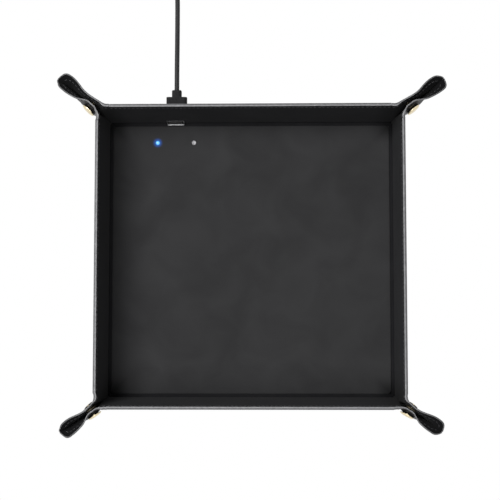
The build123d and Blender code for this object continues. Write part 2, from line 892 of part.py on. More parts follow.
def far_plug_shell():
    """Metal nose of the far plug, with the contact tongue in its upper half."""
    width, length, height = far_shell
    hollow_width, hollow_height = width - 2 * far_shell_wall, height - 2 * far_shell_wall
    shell = extrude(RectangleRounded(width, height, far_shell_corner), amount=length)
    shell -= Pos(0, 0, far_shell_floor) * extrude(Rectangle(hollow_width, hollow_height), amount=length)
    tongue_wide, tongue_thick = far_tongue
    reach = length - far_tongue_short
    up = (hollow_height - tongue_thick) / 2 - far_tongue_gap
    shell += Pos(0, up, reach / 2) * Box(tongue_wide, tongue_thick, reach)
    return far_frame() * Pos(0, 0, far_relief_length + far_body[1]) * shell


def self_gap(path, count):
    """Least gap between parts of the coil that are not next to each other along it."""
    points = [path @ (i / count) for i in range(count + 1)]
    neighbours = int(3.5 * cord_diameter * count / path.length)
    least = min((p - q).length for i, p in enumerate(points) for q in points[i + neighbours:])
    return least - cord_diameter


def mirrored(shape, flip_x, flip_y):
    """A piece of the back right quarter, mirrored into another one."""
    if flip_x:
        shape = mirror(shape, about=Plane.YZ)
    if flip_y:
        shape = mirror(shape, about=Plane.XZ)
    return shape


def write(name, shapes):
    """Writes one node, as a single solid or a group of separate ones."""
    solids = []
    for shape in shapes if isinstance(shapes, (list, tuple)) else [shapes]:
        solids += list(shape.solids())
    export_step(solids[0] if len(solids) == 1 else Compound(children=solids), f"parts/{name}.step")


def write_walls():
    """The three layers of each wall; the back one has the window for the port."""
    window = port_box(port_gap, port_back, sheet_top + PAST)
    for side, turn_up, names in (
        ("end", turn_up_end, ("back", "front")),
        ("side", turn_up_side, ("right", "left")),
    ):
        layers = wall_layers(side)
        for name in names:
            flip = name in ("front", "left")
            for label, layer in zip(("leather", "board", "lining"), layers):
                piece = layer - window if name == "back" else layer
                piece = turn_up(piece)
                piece = mirrored(piece, flip and side == "side", flip and side == "end")
                write(f"wall_{name}_{label}", piece)


def write_ears():
    """The layers and the snap of both leaves at each of the four corners."""
    for side, fold in (("end", fold_end_leaf), ("side", fold_side_leaf)):
        leather = fold(leaf_layer(sheet_low, sheet_mid, side))
        lining = fold(leaf_layer(sheet_mid, sheet_top, side))
        snap = [fold(piece) for piece in snap_half(side)]
        for ahead in ("back", "front"):
            for across in ("right", "left"):
                flips = (across == "left", ahead == "front")
                node = f"ear_{ahead}_{across}_{side}"
                write(f"{node}_leather", mirrored(leather, *flips))
                write(f"{node}_lining", mirrored(lining, *flips))
                write(f"{node}_snap", [mirrored(piece, *flips) for piece in snap])


def write_base():
    """The base, what it holds, the floor and the port."""
    write("base_leather", base_leather())
    write("base_core", base_core())
    write("charger_case", charger_case())
    write("charger_lid", charger_lid())
    write("ferrite_plate", ferrite_plate())
    write("charging_coil", charging_coil())
    write("circuit_board", circuit_board())
    write("power_inlet", power_inlet())
    write("light_lens_left", lens(0))
    write("light_lens_right", lens(1))
    write("floor_board", floor_board())
    write("floor_lining", floor_lining())
    write("port_shell", turn_up_end(port_shell()))
    write("port_insert", turn_up_end(port_insert()))


def write_lead():
    """The plug, the lead in its three lengths and the far plug."""
    write("plug_shell", plug_shell())
    write("plug_overmould", plug_overmould())
    write("strain_relief", strain_relief())
    lead, lead_length = cord_tube(lead_points)
    write("power_cord", lead)
    path = coil_path()
    coil = tube(path)
    print("coil self gap", round(self_gap(path, 900), 3), "length", round(path.length, 1),
          "volume share", round(coil.volume / (math.pi * cord_radius**2 * path.length), 4))
    write("cord_coil", coil)
    tail, tail_length = cord_tube(tail_points())
    write("cord_tail", tail)
    write("far_strain_relief", far_relief())
    write("far_plug_body", far_plug_body())
    write("far_plug_shell", far_plug_shell())
    print("cord length", round(lead_length + path.length + tail_length, 1))


os.makedirs("parts", exist_ok=True)
print("leaf turns", round(leaf_turn_end, 3), round(leaf_turn_side, 3),
      "seams", round(seam_x, 3), round(seam_y, 3))
write_base()
write_walls()
write_ears()
write_lead()
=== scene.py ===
# %% [markdown]
# # A valet tray that snaps up from a flat sheet
#
# The tray is one sheet of black PU leather with a soft lining. Four creases let the walls stand up,
# and at each corner the square of sheet that is left over is pinched into an ear by a brass snap.
# A wireless charger lies hidden in the base, and its lead leaves the back.
#
# The sheet is drawn flat here, as a maker cuts it, and then folded up in code about the joints of
# the imported model. On the flat sheet the tips of the ears stay curled.

# %% The imported model and the helpers that everything uses
import json
import math

import bmesh
import bpy
import numpy as np
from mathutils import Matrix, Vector, noise

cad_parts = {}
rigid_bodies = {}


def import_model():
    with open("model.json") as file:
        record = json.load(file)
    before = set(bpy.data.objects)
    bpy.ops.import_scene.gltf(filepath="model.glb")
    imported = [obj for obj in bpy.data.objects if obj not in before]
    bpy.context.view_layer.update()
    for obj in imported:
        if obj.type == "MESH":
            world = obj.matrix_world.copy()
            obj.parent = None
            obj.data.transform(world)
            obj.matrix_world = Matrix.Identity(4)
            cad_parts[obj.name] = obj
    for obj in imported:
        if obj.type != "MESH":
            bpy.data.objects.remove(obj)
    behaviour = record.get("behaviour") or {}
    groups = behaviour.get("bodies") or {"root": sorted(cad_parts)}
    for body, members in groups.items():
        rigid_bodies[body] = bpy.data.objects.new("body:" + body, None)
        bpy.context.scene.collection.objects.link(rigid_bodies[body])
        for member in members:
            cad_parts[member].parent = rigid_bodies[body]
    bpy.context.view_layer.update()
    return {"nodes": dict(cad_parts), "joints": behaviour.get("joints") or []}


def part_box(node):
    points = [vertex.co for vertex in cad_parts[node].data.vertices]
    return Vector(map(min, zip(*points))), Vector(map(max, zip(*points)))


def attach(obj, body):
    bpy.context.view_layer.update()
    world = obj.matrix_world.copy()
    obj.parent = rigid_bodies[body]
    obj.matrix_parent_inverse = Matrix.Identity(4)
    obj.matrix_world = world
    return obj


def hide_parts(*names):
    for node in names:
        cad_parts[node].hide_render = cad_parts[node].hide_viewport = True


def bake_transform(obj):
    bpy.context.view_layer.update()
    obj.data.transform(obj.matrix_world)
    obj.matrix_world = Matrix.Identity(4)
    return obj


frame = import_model()
joints = {joint["name"]: joint for joint in frame["joints"]}
scene = bpy.context.scene
MM = 0.001


def smooth_step(value, low, high):
    """Rises smoothly from 0 at low to 1 at high."""
    share = np.clip((np.asarray(value, float) - low) / (high - low), 0, 1)
    return share * share * (3 - 2 * share)


def unit(vector):
    """A vector of length one in the same direction."""
    return np.asarray(vector, float) / np.linalg.norm(vector)


def box_mm(name):
    """Low and high corner of the box round a piece of the model, in mm."""
    return [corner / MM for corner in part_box(name)]


def put(name, data):
    """A new object in the scene."""
    made = bpy.data.objects.new(name, data)
    scene.collection.objects.link(made)
    return made


# %% [markdown]
# ## Camera
#
# The picture looks almost straight down from about 0.87 m, tipped four degrees, through a lens that
# takes in 24 degrees. Its place was found by matching the floor's edges, the rim and the ears.

# %% Camera
IMAGE_WIDTH_PX = 500
FOCAL_LENGTH_PX = 1167.5
CAMERA_PLACE = (18.5, -57.6, 871.6)
CAMERA_TILT = (4.258, 1.282, 0)

camera_data = bpy.data.cameras.new("overhead_camera")
camera_data.lens = FOCAL_LENGTH_PX / IMAGE_WIDTH_PX * camera_data.sensor_width
camera_data.clip_start = 0.01
camera = put("overhead_camera", camera_data)
camera.location = [c * MM for c in CAMERA_PLACE]
camera.rotation_euler = [math.radians(angle) for angle in CAMERA_TILT]
scene.camera = camera
print("lens in mm:", round(camera_data.lens, 1))

# %% [markdown]
# ## The lead
#
# A round PVC lead of 3.6 mm leaves the plug, drops to the table and runs straight back. Only its
# first 57 mm are in the picture. A supplied lead of this kind is about a metre long, so the rest is
# wound into a flat coil of two layers just past the picture's edge, with the far plug beside it.
# One NURBS line carries it all: the points of the free run are listed, and the turns of the
# coil come from a loop, so the cord keeps its thickness and never kinks. Each point's radius gives
# the thickness, and not the curve's bevel alone, because Blender's box round a curve counts it.

# %% Route of the lead
CORD_DIAMETER = 3.6
COIL_PITCH = 4.1
COIL_RADIUS = 27.0
COIL_HALF_TURNS = 7
COIL_ENTRY_TURN = math.radians(12.0)
RUN_TO_COIL = 28.0
CLIMB_INSET = 0.8
POINTS_A_HALF_TURN = 8
FAR_PLUG_Z = 3.9

relief_low, relief_high = box_mm("strain_relief")
lead_x = (relief_low.x + relief_high.x) / 2
plug_z = (relief_low.z + relief_high.z) / 2
table_z = CORD_DIAMETER / 2
FREE_RUN = ((0.0, plug_z), (16.0, plug_z), (42.0, table_z), (84.0, table_z))
lead_points = [Vector((lead_x, relief_high.y + behind, z)) for behind, z in FREE_RUN]
heading = Vector((-math.sin(COIL_ENTRY_TURN), math.cos(COIL_ENTRY_TURN), 0))
leftward = Vector((-heading.y, heading.x, 0))
coil_entry = lead_points[-1] + heading * RUN_TO_COIL
coil_centre = coil_entry + leftward * COIL_RADIUS
lead_points.append(coil_entry - heading * CORD_DIAMETER)


def coil_radius(step):
    """Radius of the winding after a number of half turns: in on the lower layer, then out again."""
    inward = min(step, 2 * COIL_HALF_TURNS + 1 - step)
    inset = CLIMB_INSET if inward >= COIL_HALF_TURNS else 0.0
    return COIL_RADIUS - inward * COIL_PITCH / 2 - inset


def coil_point(step, share):
    """A control point of the winding, a share of the way from one half turn to the next."""
    swell = 1 / math.cos(math.pi / 2 / POINTS_A_HALF_TURN)
    radius = swell * (coil_radius(step) * (1 - share) + coil_radius(step + 1) * share)
    angle = COIL_ENTRY_TURN + (step + share) * math.pi
    z = table_z + COIL_PITCH * smooth_step(step + share, COIL_HALF_TURNS, COIL_HALF_TURNS + 1)
    return Vector((coil_centre.x + radius * math.cos(angle), coil_centre.y + radius * math.sin(angle), z))


coil_points = [
    coil_point(step, (index + 0.5) / POINTS_A_HALF_TURN)
    for step in range(2 * COIL_HALF_TURNS)
    for index in range(POINTS_A_HALF_TURN)
]
coil_exit = coil_centre - leftward * coil_radius(2 * COIL_HALF_TURNS)
upper_z = table_z + COIL_PITCH
tail_start = coil_exit + heading * CORD_DIAMETER
TAIL = ((0.0, 0.0, upper_z), (13.0, 0.0, upper_z), (27.0, 2.6, FAR_PLUG_Z), (40.0, 7.6, FAR_PLUG_Z))
tail_points = []
for ahead, left, z in TAIL:
    place = tail_start + heading * ahead + leftward * left
    tail_points.append(Vector((place.x, place.y, z)))
route = lead_points + coil_points + tail_points
print("points on the lead:", len(route))

# %% The lead as one round curve
curve = bpy.data.curves.new("power_lead", "CURVE")
curve.dimensions = "3D"
curve.bevel_depth = 1.0
curve.bevel_resolution = 6
curve.resolution_u = 8
curve.use_fill_caps = True
spline = curve.splines.new("NURBS")
spline.points.add(len(route) - 1)
for control, point in zip(spline.points, route):
    control.co = (*(point * MM), 1.0)
    control.radius = CORD_DIAMETER / 2 * MM
spline.order_u = 3
spline.use_endpoint_u = True
power_lead = put("power_lead", curve)
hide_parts("power_cord", "cord_coil", "cord_tail")
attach(power_lead, "lead")

# %% [markdown]
# ## Colour and nodes
#
# Colours are written as sRGB hex values, and one function turns them to the linear values that the
# renderer needs. One more function adds a node to a material, and the small ones after it say what
# the common nodes are used for here.

# %% Colour and node helpers
def linear(code):
    """An sRGB hex value as linear red, green, blue and alpha."""
    parts = [int(code[at:at + 2], 16) / 255 for at in (1, 3, 5)]
    return [c / 12.92 if c <= 0.04045 else ((c + 0.055) / 1.055) ** 2.4 for c in parts] + [1.0]


def add(tree, kind, inputs=None, **settings):
    """Adds a node. Each input is given a value, or the output socket that feeds it."""
    node = tree.nodes.new("ShaderNode" + kind)
    for name, value in settings.items():
        setattr(node, name, value)
    for name, value in (inputs or {}).items():
        if isinstance(value, bpy.types.NodeSocket):
            tree.links.new(value, node.inputs[name])
        else:
            node.inputs[name].default_value = value
    return node


def calculate(tree, operation, *values):
    """The result of a sum on values or sockets."""
    return add(tree, "Math", dict(enumerate(values)), operation=operation).outputs[0]


def spread(tree, value, low, high, start, end, **settings):
    """A value that goes from start to end while another goes from low to high."""
    inputs = {"Value": value, "From Min": low, "From Max": high, "To Min": start, "To Max": end}
    return add(tree, "MapRange", inputs, **settings).outputs["Result"]


def mottle_of(tree, place, size, detail, distortion=0.0):
    """Noise with grains of a size in mm."""
    inputs = {"Vector": place, "Scale": 1 / (size * MM), "Detail": detail, "Distortion": distortion}
    return add(tree, "TexNoise", inputs).outputs["Fac"]


def distance_from(tree, place, centre):
    """How far a place is from a centre, in metres."""
    return add(tree, "VectorMath", {0: place, 1: centre}, operation="DISTANCE").outputs["Value"]


def mix(tree, factor, first, second, blend_type="MIX"):
    """Two colours put together."""
    inputs = {"Factor": factor, 6: first, 7: second}
    return add(tree, "Mix", inputs, data_type="RGBA", blend_type=blend_type).outputs[2]


def ramp(tree, factor, *stops):
    """Colours spread over a factor, as (position, hex) stops."""
    node = add(tree, "ValToRGB", {"Fac": factor})
    elements = node.color_ramp.elements
    while len(elements) < len(stops):
        elements.new(0.5)
    for element, (position, code) in zip(elements, stops):
        element.position = position
        element.color = linear(code)
    return node.outputs["Color"]


def finish_of(name, **constants):
    """A new material with its Principled shader set to constants."""
    material = bpy.data.materials.new(name)
    material.use_nodes = True
    shader = material.node_tree.nodes["Principled BSDF"]
    for socket, value in constants.items():
        shader.inputs[socket.replace("_", " ")].default_value = value
    return material, material.node_tree, shader


def dress(tree, shader, tone, height, depth, strength=1.0):
    """Gives a shader its tone, and a bump of a depth in mm."""
    tree.links.new(tone, shader.inputs["Base Color"])
    relief = add(tree, "Bump", {"Height": height, "Distance": depth * MM, "Strength": strength})
    tree.links.new(relief.outputs["Normal"], shader.inputs["Normal"])


def flat_place(tree):
    """Where a point is on the flat sheet, from an attribute that each piece carries."""
    return add(tree, "Attribute", attribute_name="pattern").outputs["Vector"]


# %% [markdown]
# ## Pebbled PU leather
#
# The outside is PU leather: a polyurethane skin pressed with a pebble grain on a knitted back. The
# press leaves round pebbles about 0.9 mm wide with narrow valleys and a satin gloss. Cells of a
# Voronoi pattern give the pebbles, with a painted sheen that makes their tops lighter and painted
# shade that makes the valleys darker. The pattern follows the flat sheet, so that it doesn't slide
# when the sheet is folded.

# %% Pebbled PU leather
PEBBLE = 0.95
PEBBLE_HEIGHT = 0.16
WEAR_SIZE = 6.0

leather, tree, shader = finish_of("pebbled_pu_leather", Roughness=0.46, IOR=1.46)
place = flat_place(tree)
cells = {"Vector": place, "Scale": 1 / (PEBBLE * MM), "Smoothness": 0.35}
pebbles = add(tree, "TexVoronoi", cells, feature="SMOOTH_F1").outputs["Distance"]
# Painted sheen and shade: the tops of the pebbles are drawn lighter and the valleys darker
skin = ramp(tree, pebbles, (0.0, "#262628"), (0.45, "#1a1a1c"), (0.8, "#101011"))
worn = ramp(tree, mottle_of(tree, place, WEAR_SIZE, 4.0), (0.35, "#d0d0d0"), (0.7, "#ffffff"))
domes = spread(tree, pebbles, 0.0, 0.8, 1.0, 0.0)
dress(tree, shader, mix(tree, 1.0, skin, worn, "MULTIPLY"), domes, PEBBLE_HEIGHT, 0.7)
print("pebble width in mm:", PEBBLE)

# %% [markdown]
# ## Brushed microfibre
#
# Floor and walls are lined with microfibre: split polyester fibres, needled and brushed into a nap
# like fine suede. It is close to matt, with a faint sheen at a low angle, a salt and pepper of
# lighter fibre ends, and broad patches where the nap has been stroked another way. The single
# fibres are far too fine to show, so the speckle is drawn at 0.5 mm. The walls get a darker copy of
# it as painted shade, and in the corners of the sheet, where the ears are pinched, painted shade
# takes it nearly to black. Over the lit lens a little blue glow is painted into it, as emission, for
# the light that shines through it.

# %% Brushed microfibre
NAP_SPECKLE = 0.5
NAP_PATCH = 28.0
NAP_DEPTH = 0.12
# Painted blue glow over the lit lens: radius in mm, share of it at full strength, and strength
GLOW_RADIUS = 4.4
GLOW_CORE = 0.25
GLOW_STRENGTH = 0.55

# Where the corner squares of the sheet start, and how tones darken beyond: from and to in mm past
# both seams, by which share, and to which tone
SEAMS = (104.3, 100.8)
# Painted shade: in the corners of the sheet, where the ears are pinched, the lining goes nearly black
EAR_PAINTED_SHADE = (-16.0, 0.0, 0.75, "#0b0b0c")
# The cut edges go darker out in the ears, towards their tips
EAR_EDGE_DARKENING = (8.0, 30.0, 0.6, "#141415")


def darker_at_corners(tree, place, tone, start, end, share, dark):
    """A tone that goes dark by a share, from start to end in mm beyond the seams of the flat sheet."""
    parts = add(tree, "SeparateXYZ", {0: place})
    beyond = []
    for axis, seam in zip("XY", SEAMS):
        size = calculate(tree, "ABSOLUTE", parts.outputs[axis])
        beyond.append(calculate(tree, "SUBTRACT", size, seam * MM))
    both = calculate(tree, "MINIMUM", *beyond)
    darkening = spread(tree, both, start * MM, end * MM, 0.0, share, interpolation_type="SMOOTHSTEP")
    return mix(tree, darkening, tone, linear(dark))


def microfibre(name, dark, light, glow=None):
    """Brushed lining between two tones. glow is the centre of painted light shining through it."""
    material, tree, shader = finish_of(
        name, Roughness=0.95, IOR=1.45, Specular_IOR_Level=0.12, Sheen_Weight=0.03, Sheen_Roughness=0.5
    )
    place = flat_place(tree)
    speckle = mottle_of(tree, place, NAP_SPECKLE, 2.0)
    patch = mottle_of(tree, place, NAP_PATCH, 3.0, 0.6)
    mixed = calculate(tree, "MULTIPLY_ADD", speckle, 0.5, calculate(tree, "MULTIPLY", patch, 0.5))
    tone = ramp(tree, mixed, (0.38, dark), (0.62, light))
    # Painted shade takes the corners of the sheet, in the ears, nearly to black
    dress(tree, shader, darker_at_corners(tree, place, tone, *EAR_PAINTED_SHADE), speckle, NAP_DEPTH, 0.5)
    # Painted glow: light from the lit lens, painted into the lining as blue emission
    if glow is not None:
        reach = distance_from(tree, place, glow)
        radius = GLOW_RADIUS * MM
        fade = spread(tree, reach, GLOW_CORE * radius, radius, GLOW_STRENGTH, 0.0,
                      interpolation_type="SMOOTHERSTEP")
        shader.inputs["Emission Color"].default_value = linear("#145fc8")
        tree.links.new(fade, shader.inputs["Emission Strength"])
    return material


lens_low, lens_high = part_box("light_lens_left")
lining_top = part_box("floor_lining")[1].z
lit_lens = ((lens_low.x + lens_high.x) / 2, (lens_low.y + lens_high.y) / 2, lining_top)
floor_microfibre = microfibre("floor_microfibre", "#373738", "#414142", glow=lit_lens)
# The walls and ears get a darker copy of the lining, as painted shade on the steep walls
wall_lining_painted_shade = microfibre("wall_lining_painted_shade", "#212123", "#29292b")
print("nap speckle in mm:", NAP_SPECKLE)

# %% [markdown]
# ## Cut edges
#
# The rim is a raw cut through both layers, sealed with a thin edge paint. The knitted back of the
# lining takes the paint as a light grey line, and the back of the leather as a darker one beside
# it. Those two lines are what draws the outline of the whole tray when it is seen from above. In
# the ears both lines are drawn darker towards the tips.

# %% Plain finishes and cut edges
def plain_finish(name, dark, light, grit, depth, on_sheet=False, **constants):
    """A finish with a mottle between two tones and a fine bump, both at a grit size in mm."""
    material, tree, shader = finish_of(name, **constants)
    place = flat_place(tree) if on_sheet else add(tree, "TexCoord").outputs["Object"]
    mottle = mottle_of(tree, place, grit, 3.0)
    tone = ramp(tree, mottle, (0.35, dark), (0.65, light))
    if on_sheet:
        # The edges are drawn darker out in the ears, towards their tips
        tone = darker_at_corners(tree, place, tone, *EAR_EDGE_DARKENING)
    dress(tree, shader, tone, mottle, depth)
    return material


EDGE_PAINT = dict(grit=2.5, depth=0.05, on_sheet=True, Roughness=0.5, IOR=1.48)
lining_edge = plain_finish("lining_cut_edge", "#8b8b8d", "#a2a2a4", **EDGE_PAINT)
leather_edge = plain_finish("leather_cut_edge", "#58585a", "#6a6a6c", **EDGE_PAINT)
print("edge paints:", lining_edge.name, "and", leather_edge.name)

# %% [markdown]
# ## Metals and mouldings
#
# The snaps are brass, plated pale and tumbled smooth, so they mirror softly. The port's frame is
# nickel plated steel. Plug and lead are black PVC: the plug comes from a spark eroded mould and is
# dull, the lead is extruded and has more shine. Foam, boards and the charger's inner pieces are
# hidden, but they show when a piece is taken away, so they get their own finish too.

# %% Metals and mouldings
def metal(name, dark, light, grit, depth, roughness):
    """A plain finish of bare metal."""
    return plain_finish(name, dark, light, grit, depth, Metallic=1.0, Roughness=roughness)


plated_brass = metal("plated_brass", "#d6c6a0", "#ece0c2", 0.8, 0.01, 0.3)
# A darker copy of the brass for the stud and socket, as painted shade inside the pinched ear
shaded_brass = metal("brass_painted_shade", "#3f3a30", "#4e483b", 0.8, 0.01, 0.45)
nickel = metal("nickel_plated_steel", "#cfcfd2", "#e2e2e4", 0.6, 0.01, 0.34)
enamelled_copper = metal("enamelled_copper", "#b0642f", "#c87a3f", 0.3, 0.03, 0.35)
pvc_plug = plain_finish(
    "spark_eroded_pvc", "#232324", "#303031", 0.9, 0.03, Roughness=0.55, Specular_IOR_Level=0.1
)
pvc_lead = plain_finish(
    "extruded_pvc", "#303031", "#383839", 1.2, 0.01, Roughness=0.4, Specular_IOR_Level=0.15
)
abs_case = plain_finish("moulded_abs", "#1d1d1e", "#222223", 0.4, 0.02, Roughness=0.5, IOR=1.54)
foam = plain_finish("closed_cell_foam", "#2a2a2b", "#3a3a3b", 0.7, 0.15, Roughness=0.95)
greyboard = plain_finish("pressed_greyboard", "#8a8780", "#a19d95", 0.9, 0.03, Roughness=0.9)
ferrite = plain_finish("sintered_ferrite", "#3a3a3d", "#444448", 0.5, 0.02, Roughness=0.7)
solder_mask = plain_finish("solder_mask", "#12381f", "#184a29", 0.8, 0.01, Roughness=0.3)
port_plastic = plain_finish("moulded_port_plastic", "#0f0f10", "#161617", 0.4, 0.02, Roughness=0.5)
thread = plain_finish("bonded_nylon_thread", "#2b2b2d", "#4a4a4d", 0.4, 0.02, Roughness=0.45)
clear_pipe = plain_finish("unlit_light_pipe", "#c4c4c7", "#d4d4d7", 0.8, 0.01, Roughness=0.2, IOR=1.49)

LENS_RADIUS = 1.7
lit_pipe, tree, shader = finish_of(
    "lit_light_pipe", Roughness=0.25, IOR=1.49, Emission_Strength=1.0, Base_Color=linear("#1b3a66")
)
off_axis = distance_from(tree, add(tree, "TexCoord").outputs["Object"], lit_lens)
share = spread(tree, off_axis, 0.0, LENS_RADIUS * MM, 0.0, 1.0)
tree.links.new(ramp(tree, share, (0.0, "#f0ffff"), (0.4, "#8be2ff"), (1.0, "#1a78dc")),
               shader.inputs["Emission Color"])

FINISHES = (
    (foam, "base_core"), (abs_case, "charger_case charger_lid"), (ferrite, "ferrite_plate"),
    (enamelled_copper, "charging_coil"), (solder_mask, "circuit_board"), (lit_pipe, "light_lens_left"),
    (clear_pipe, "light_lens_right"), (port_plastic, "port_insert"),
    (greyboard, "floor_board wall_back_board wall_front_board wall_right_board wall_left_board"),
    (nickel, "power_inlet port_shell plug_shell far_plug_shell"),
    (pvc_plug, "plug_overmould strain_relief far_strain_relief far_plug_body"),
)
for finish, names in FINISHES:
    for name in names.split():
        materials = frame["nodes"][name].data.materials
        materials.clear()
        materials.append(finish)
power_lead.data.materials.append(pvc_lead)
rounding = frame["nodes"]["plug_overmould"].modifiers.new("rounding", "BEVEL")
rounding.width = 1.1 * MM
rounding.segments = 3
rounding.angle_limit = math.radians(50)
print("finishes:", len(bpy.data.materials))

# %% [markdown]
# ## Folding the flat sheet
#
# Each joint of the model lays a wall or a leaf flat. Turning a flat point the other way about the
# same axis gives its place on the standing tray. Across a crease the sheet bends over a few
# millimetres, so the turn grows from nothing to the full angle along that strip. How far a point has
# turned depends on where it ends up, so the place is found by rounds of correction.

# %% Turning flat points about a joint
SETTLE_ROUNDS = 90
SETTLE_SHARE = 0.5


class Crease:
    """A joint as a fold: its line, the angle it folds through, and the strip that bends.

    outward lies in the piece that stays and points across the fold. strip says where the bend starts
    and ends, in mm from the joint. The strip can be made to start along a line, its border.
    """

    def __init__(self, name, outward, strip, border=None):
        joint = joints[name]
        self.point = np.array(joint["pos_m"])
        self.axis = unit(joint["axis"])
        self.angle = math.radians(joint["range_deg"][1])
        self.parent, self.child = joint["parent"], joint["child"]
        outward = np.array(outward, float)
        across = unit(outward + self.turn(outward + self.point) - self.point)
        if border is not None:
            across = unit(across - (across @ border) * border)
        self.start = self.point + across * strip[0] * MM
        self.end = self.point + across * strip[1] * MM

    def turn(self, points, share=1.0):
        """Points folded up by a share of the angle."""
        angle = -self.angle * np.asarray(share, float)[..., None]
        arm = points - self.point
        along = (arm @ self.axis)[..., None] * self.axis
        return (
            self.point + along + (arm - along) * np.cos(angle)
            + np.cross(self.axis, arm) * np.sin(angle)
        )

    def settle(self, points):
        """Where points of the flat sheet lie once the strip has bent."""
        line = self.end - self.start
        share = np.zeros(len(points))
        for _ in range(SETTLE_ROUNDS):
            placed = self.turn(points, share)
            far = (placed - self.start) @ line / (line @ line)
            share += SETTLE_SHARE * (smooth_step(far, 0, 1) - share)
        return self.turn(points, share)


# %% Sizes of the sheet
WALL_REACH = 40.5
CORNER_RADIUS = 13.0
LAYER_GAP = 0.02

# The other sizes come from the model: where its joints and seams are, and how thick the sheet is
end_pos, side_pos = joints["fold_back"]["pos_m"], joints["fold_right"]["pos_m"]
hinge_y, hinge_x, sheet_mid = end_pos[1] / MM, side_pos[0] / MM, end_pos[2] / MM
seam_x, seam_y = (c / MM for c in joints["open_back_right_end"]["pos_m"][:2])
sheet_top = lining_top / MM
sheet_low = 2 * sheet_mid - sheet_top
sheet_thick = sheet_top - sheet_low

# For the end walls and the side walls: half the length between the seams, how far out the joint is,
# and where the seams start, measured from the joint
SHEET = {"end": (seam_x, hinge_y, seam_y - hinge_y), "side": (seam_y, hinge_x, seam_x - hinge_x)}
print("sheet in mm:", round(sheet_low, 2), "to", round(sheet_top, 2), "hinges", hinge_x, hinge_y)

# %% Meshes from rings of points
SHARP_ANGLE = math.radians(50)


def add_mesh(name, points, faces, slots, materials, pattern):
    """A mesh object with a finish for each face and its places on the flat pattern."""
    mesh = bpy.data.meshes.new(name)
    mesh.from_pydata([tuple(p) for p in points], [], faces)
    for material in materials:
        mesh.materials.append(material)
    mesh.polygons.foreach_set("material_index", slots)
    mesh.attributes.new("pattern", "FLOAT_VECTOR", "POINT").data.foreach_set(
        "vector", np.asarray(pattern, np.float32).ravel()
    )
    work = bmesh.new()
    work.from_mesh(mesh)
    bmesh.ops.recalc_face_normals(work, faces=work.faces)
    work.to_mesh(mesh)
    work.free()
    mesh.polygons.foreach_set("use_smooth", [True] * len(mesh.polygons))
    mesh.set_sharp_from_angle(angle=SHARP_ANGLE)
    return put(name, mesh)


def loft(rings, ring_slots=None):
    """Faces that join closed rings of points one after another, with a cap at each end."""
    count, size = len(rings), len(rings[0])
    faces = []
    for here in range(0, (count - 1) * size, size):
        there = here + size
        for at in range(size):
            after = (at + 1) % size
            faces.append((here + at, here + after, there + after, there + at))
    faces += [tuple(range(size))[::-1], tuple(range((count - 1) * size, count * size))]
    return faces, [*(ring_slots or [0] * size)] * (count - 1) + [0, 0]


def join_lofts(shapes):
    """Points, faces and shape numbers of several closed shapes, each given as its rings."""
    points, faces, slots = [], [], []
    first = 0
    for index, rings in enumerate(shapes):
        added = [tuple(first + at for at in face) for face in loft(rings)[0]]
        points += rings
        faces += added
        slots += [index] * len(added)
        first += sum(len(ring) for ring in rings)
    return np.concatenate(points), faces, slots


def lofted_piece(name, shapes, finishes):
    """One mesh of several lofted shapes that don't overlap, each with its own finish."""
    points, faces, slots = join_lofts(shapes)
    return add_mesh(name, points, faces, slots, finishes, points)


# %% [markdown]
# ## The walls
#
# A wall is two layers that are glued back to back: leather outside, lining inside, and a board
# between them that stops short of the crease. Each layer is a closed skin, lofted along the wall from
# one profile. The leather's profile rolls over the crease; the lining's starts in the thin gutter
# beside the floor and steps up to its full thickness. The rim keeps its cut edge, with a small
# radius where the edge paint rounds it.

# %% Profiles across a wall
EDGE_ROUND = 0.42
RIM_ANGLES = [step * math.pi / 8 for step in (1, 2, 3, 4)]
GUTTER_TOP = 10.3
GUTTER_STEP = (0.9, 2.1)
LINING_START = -2.8
LEATHER_START = -0.9
CLOSE_PITCH, CLOSE_END = 0.25, 4.2
WIDE_START, WIDE_COUNT = 4.5, 15


def layer_outline(v, face, back, length):
    """Closed outline of a layer with a rounded cut edge, and the finish of each of its sides.

    face gives the height of the seen side at each place v, and back the height of the glued side.
    """
    up = 1 if face[-1] > back else -1
    middle = face[-1] - up * EDGE_ROUND
    rim = [(length - EDGE_ROUND * (1 - math.sin(a)), middle + up * EDGE_ROUND * math.cos(a))
           for a in RIM_ANGLES]
    points = [*zip(v, face), *rim, (length, back), *((a, back) for a in v[::-1])]
    slots = [1 if 0 <= at - len(v) <= len(rim) else 0 for at in range(len(points))]
    return np.array(points), slots


def wall_profile(layer, extra=()):
    """Outline of a layer across the wall. Its points are close together where it bends."""
    close = np.arange(LINING_START if layer == "lining" else LEATHER_START, CLOSE_END, CLOSE_PITCH)
    wide = np.linspace(WIDE_START, WALL_REACH - EDGE_ROUND, WIDE_COUNT)
    v = np.array(sorted({round(float(place), 4) for place in (*close, *wide, *extra)}))
    if layer == "lining":
        face = GUTTER_TOP + (sheet_top - GUTTER_TOP) * smooth_step(v, *GUTTER_STEP)
        return layer_outline(v, face, sheet_mid + LAYER_GAP, WALL_REACH)
    return layer_outline(v, [sheet_low] * len(v), sheet_mid - LAYER_GAP, WALL_REACH)


# The recess for the port in the back wall's lining, and how close to its edges the mesh has points
PORT_MARGIN = 0.05
PORT_FOOT, PORT_HEIGHT = 1.4, 5.7
PORT_RECESS = 9.6
PORT_GUARDS = (-0.4, -0.03, 0.03, 0.4)
port_low, port_high = box_mm("port_shell")
port_half = (port_high.x - port_low.x) / 2 + PORT_MARGIN
port_middle = (port_high.x + port_low.x) / 2
port_rows = (PORT_FOOT - PORT_MARGIN, PORT_FOOT + PORT_HEIGHT + PORT_MARGIN)
print("points across a wall:", len(wall_profile("lining")[0]))

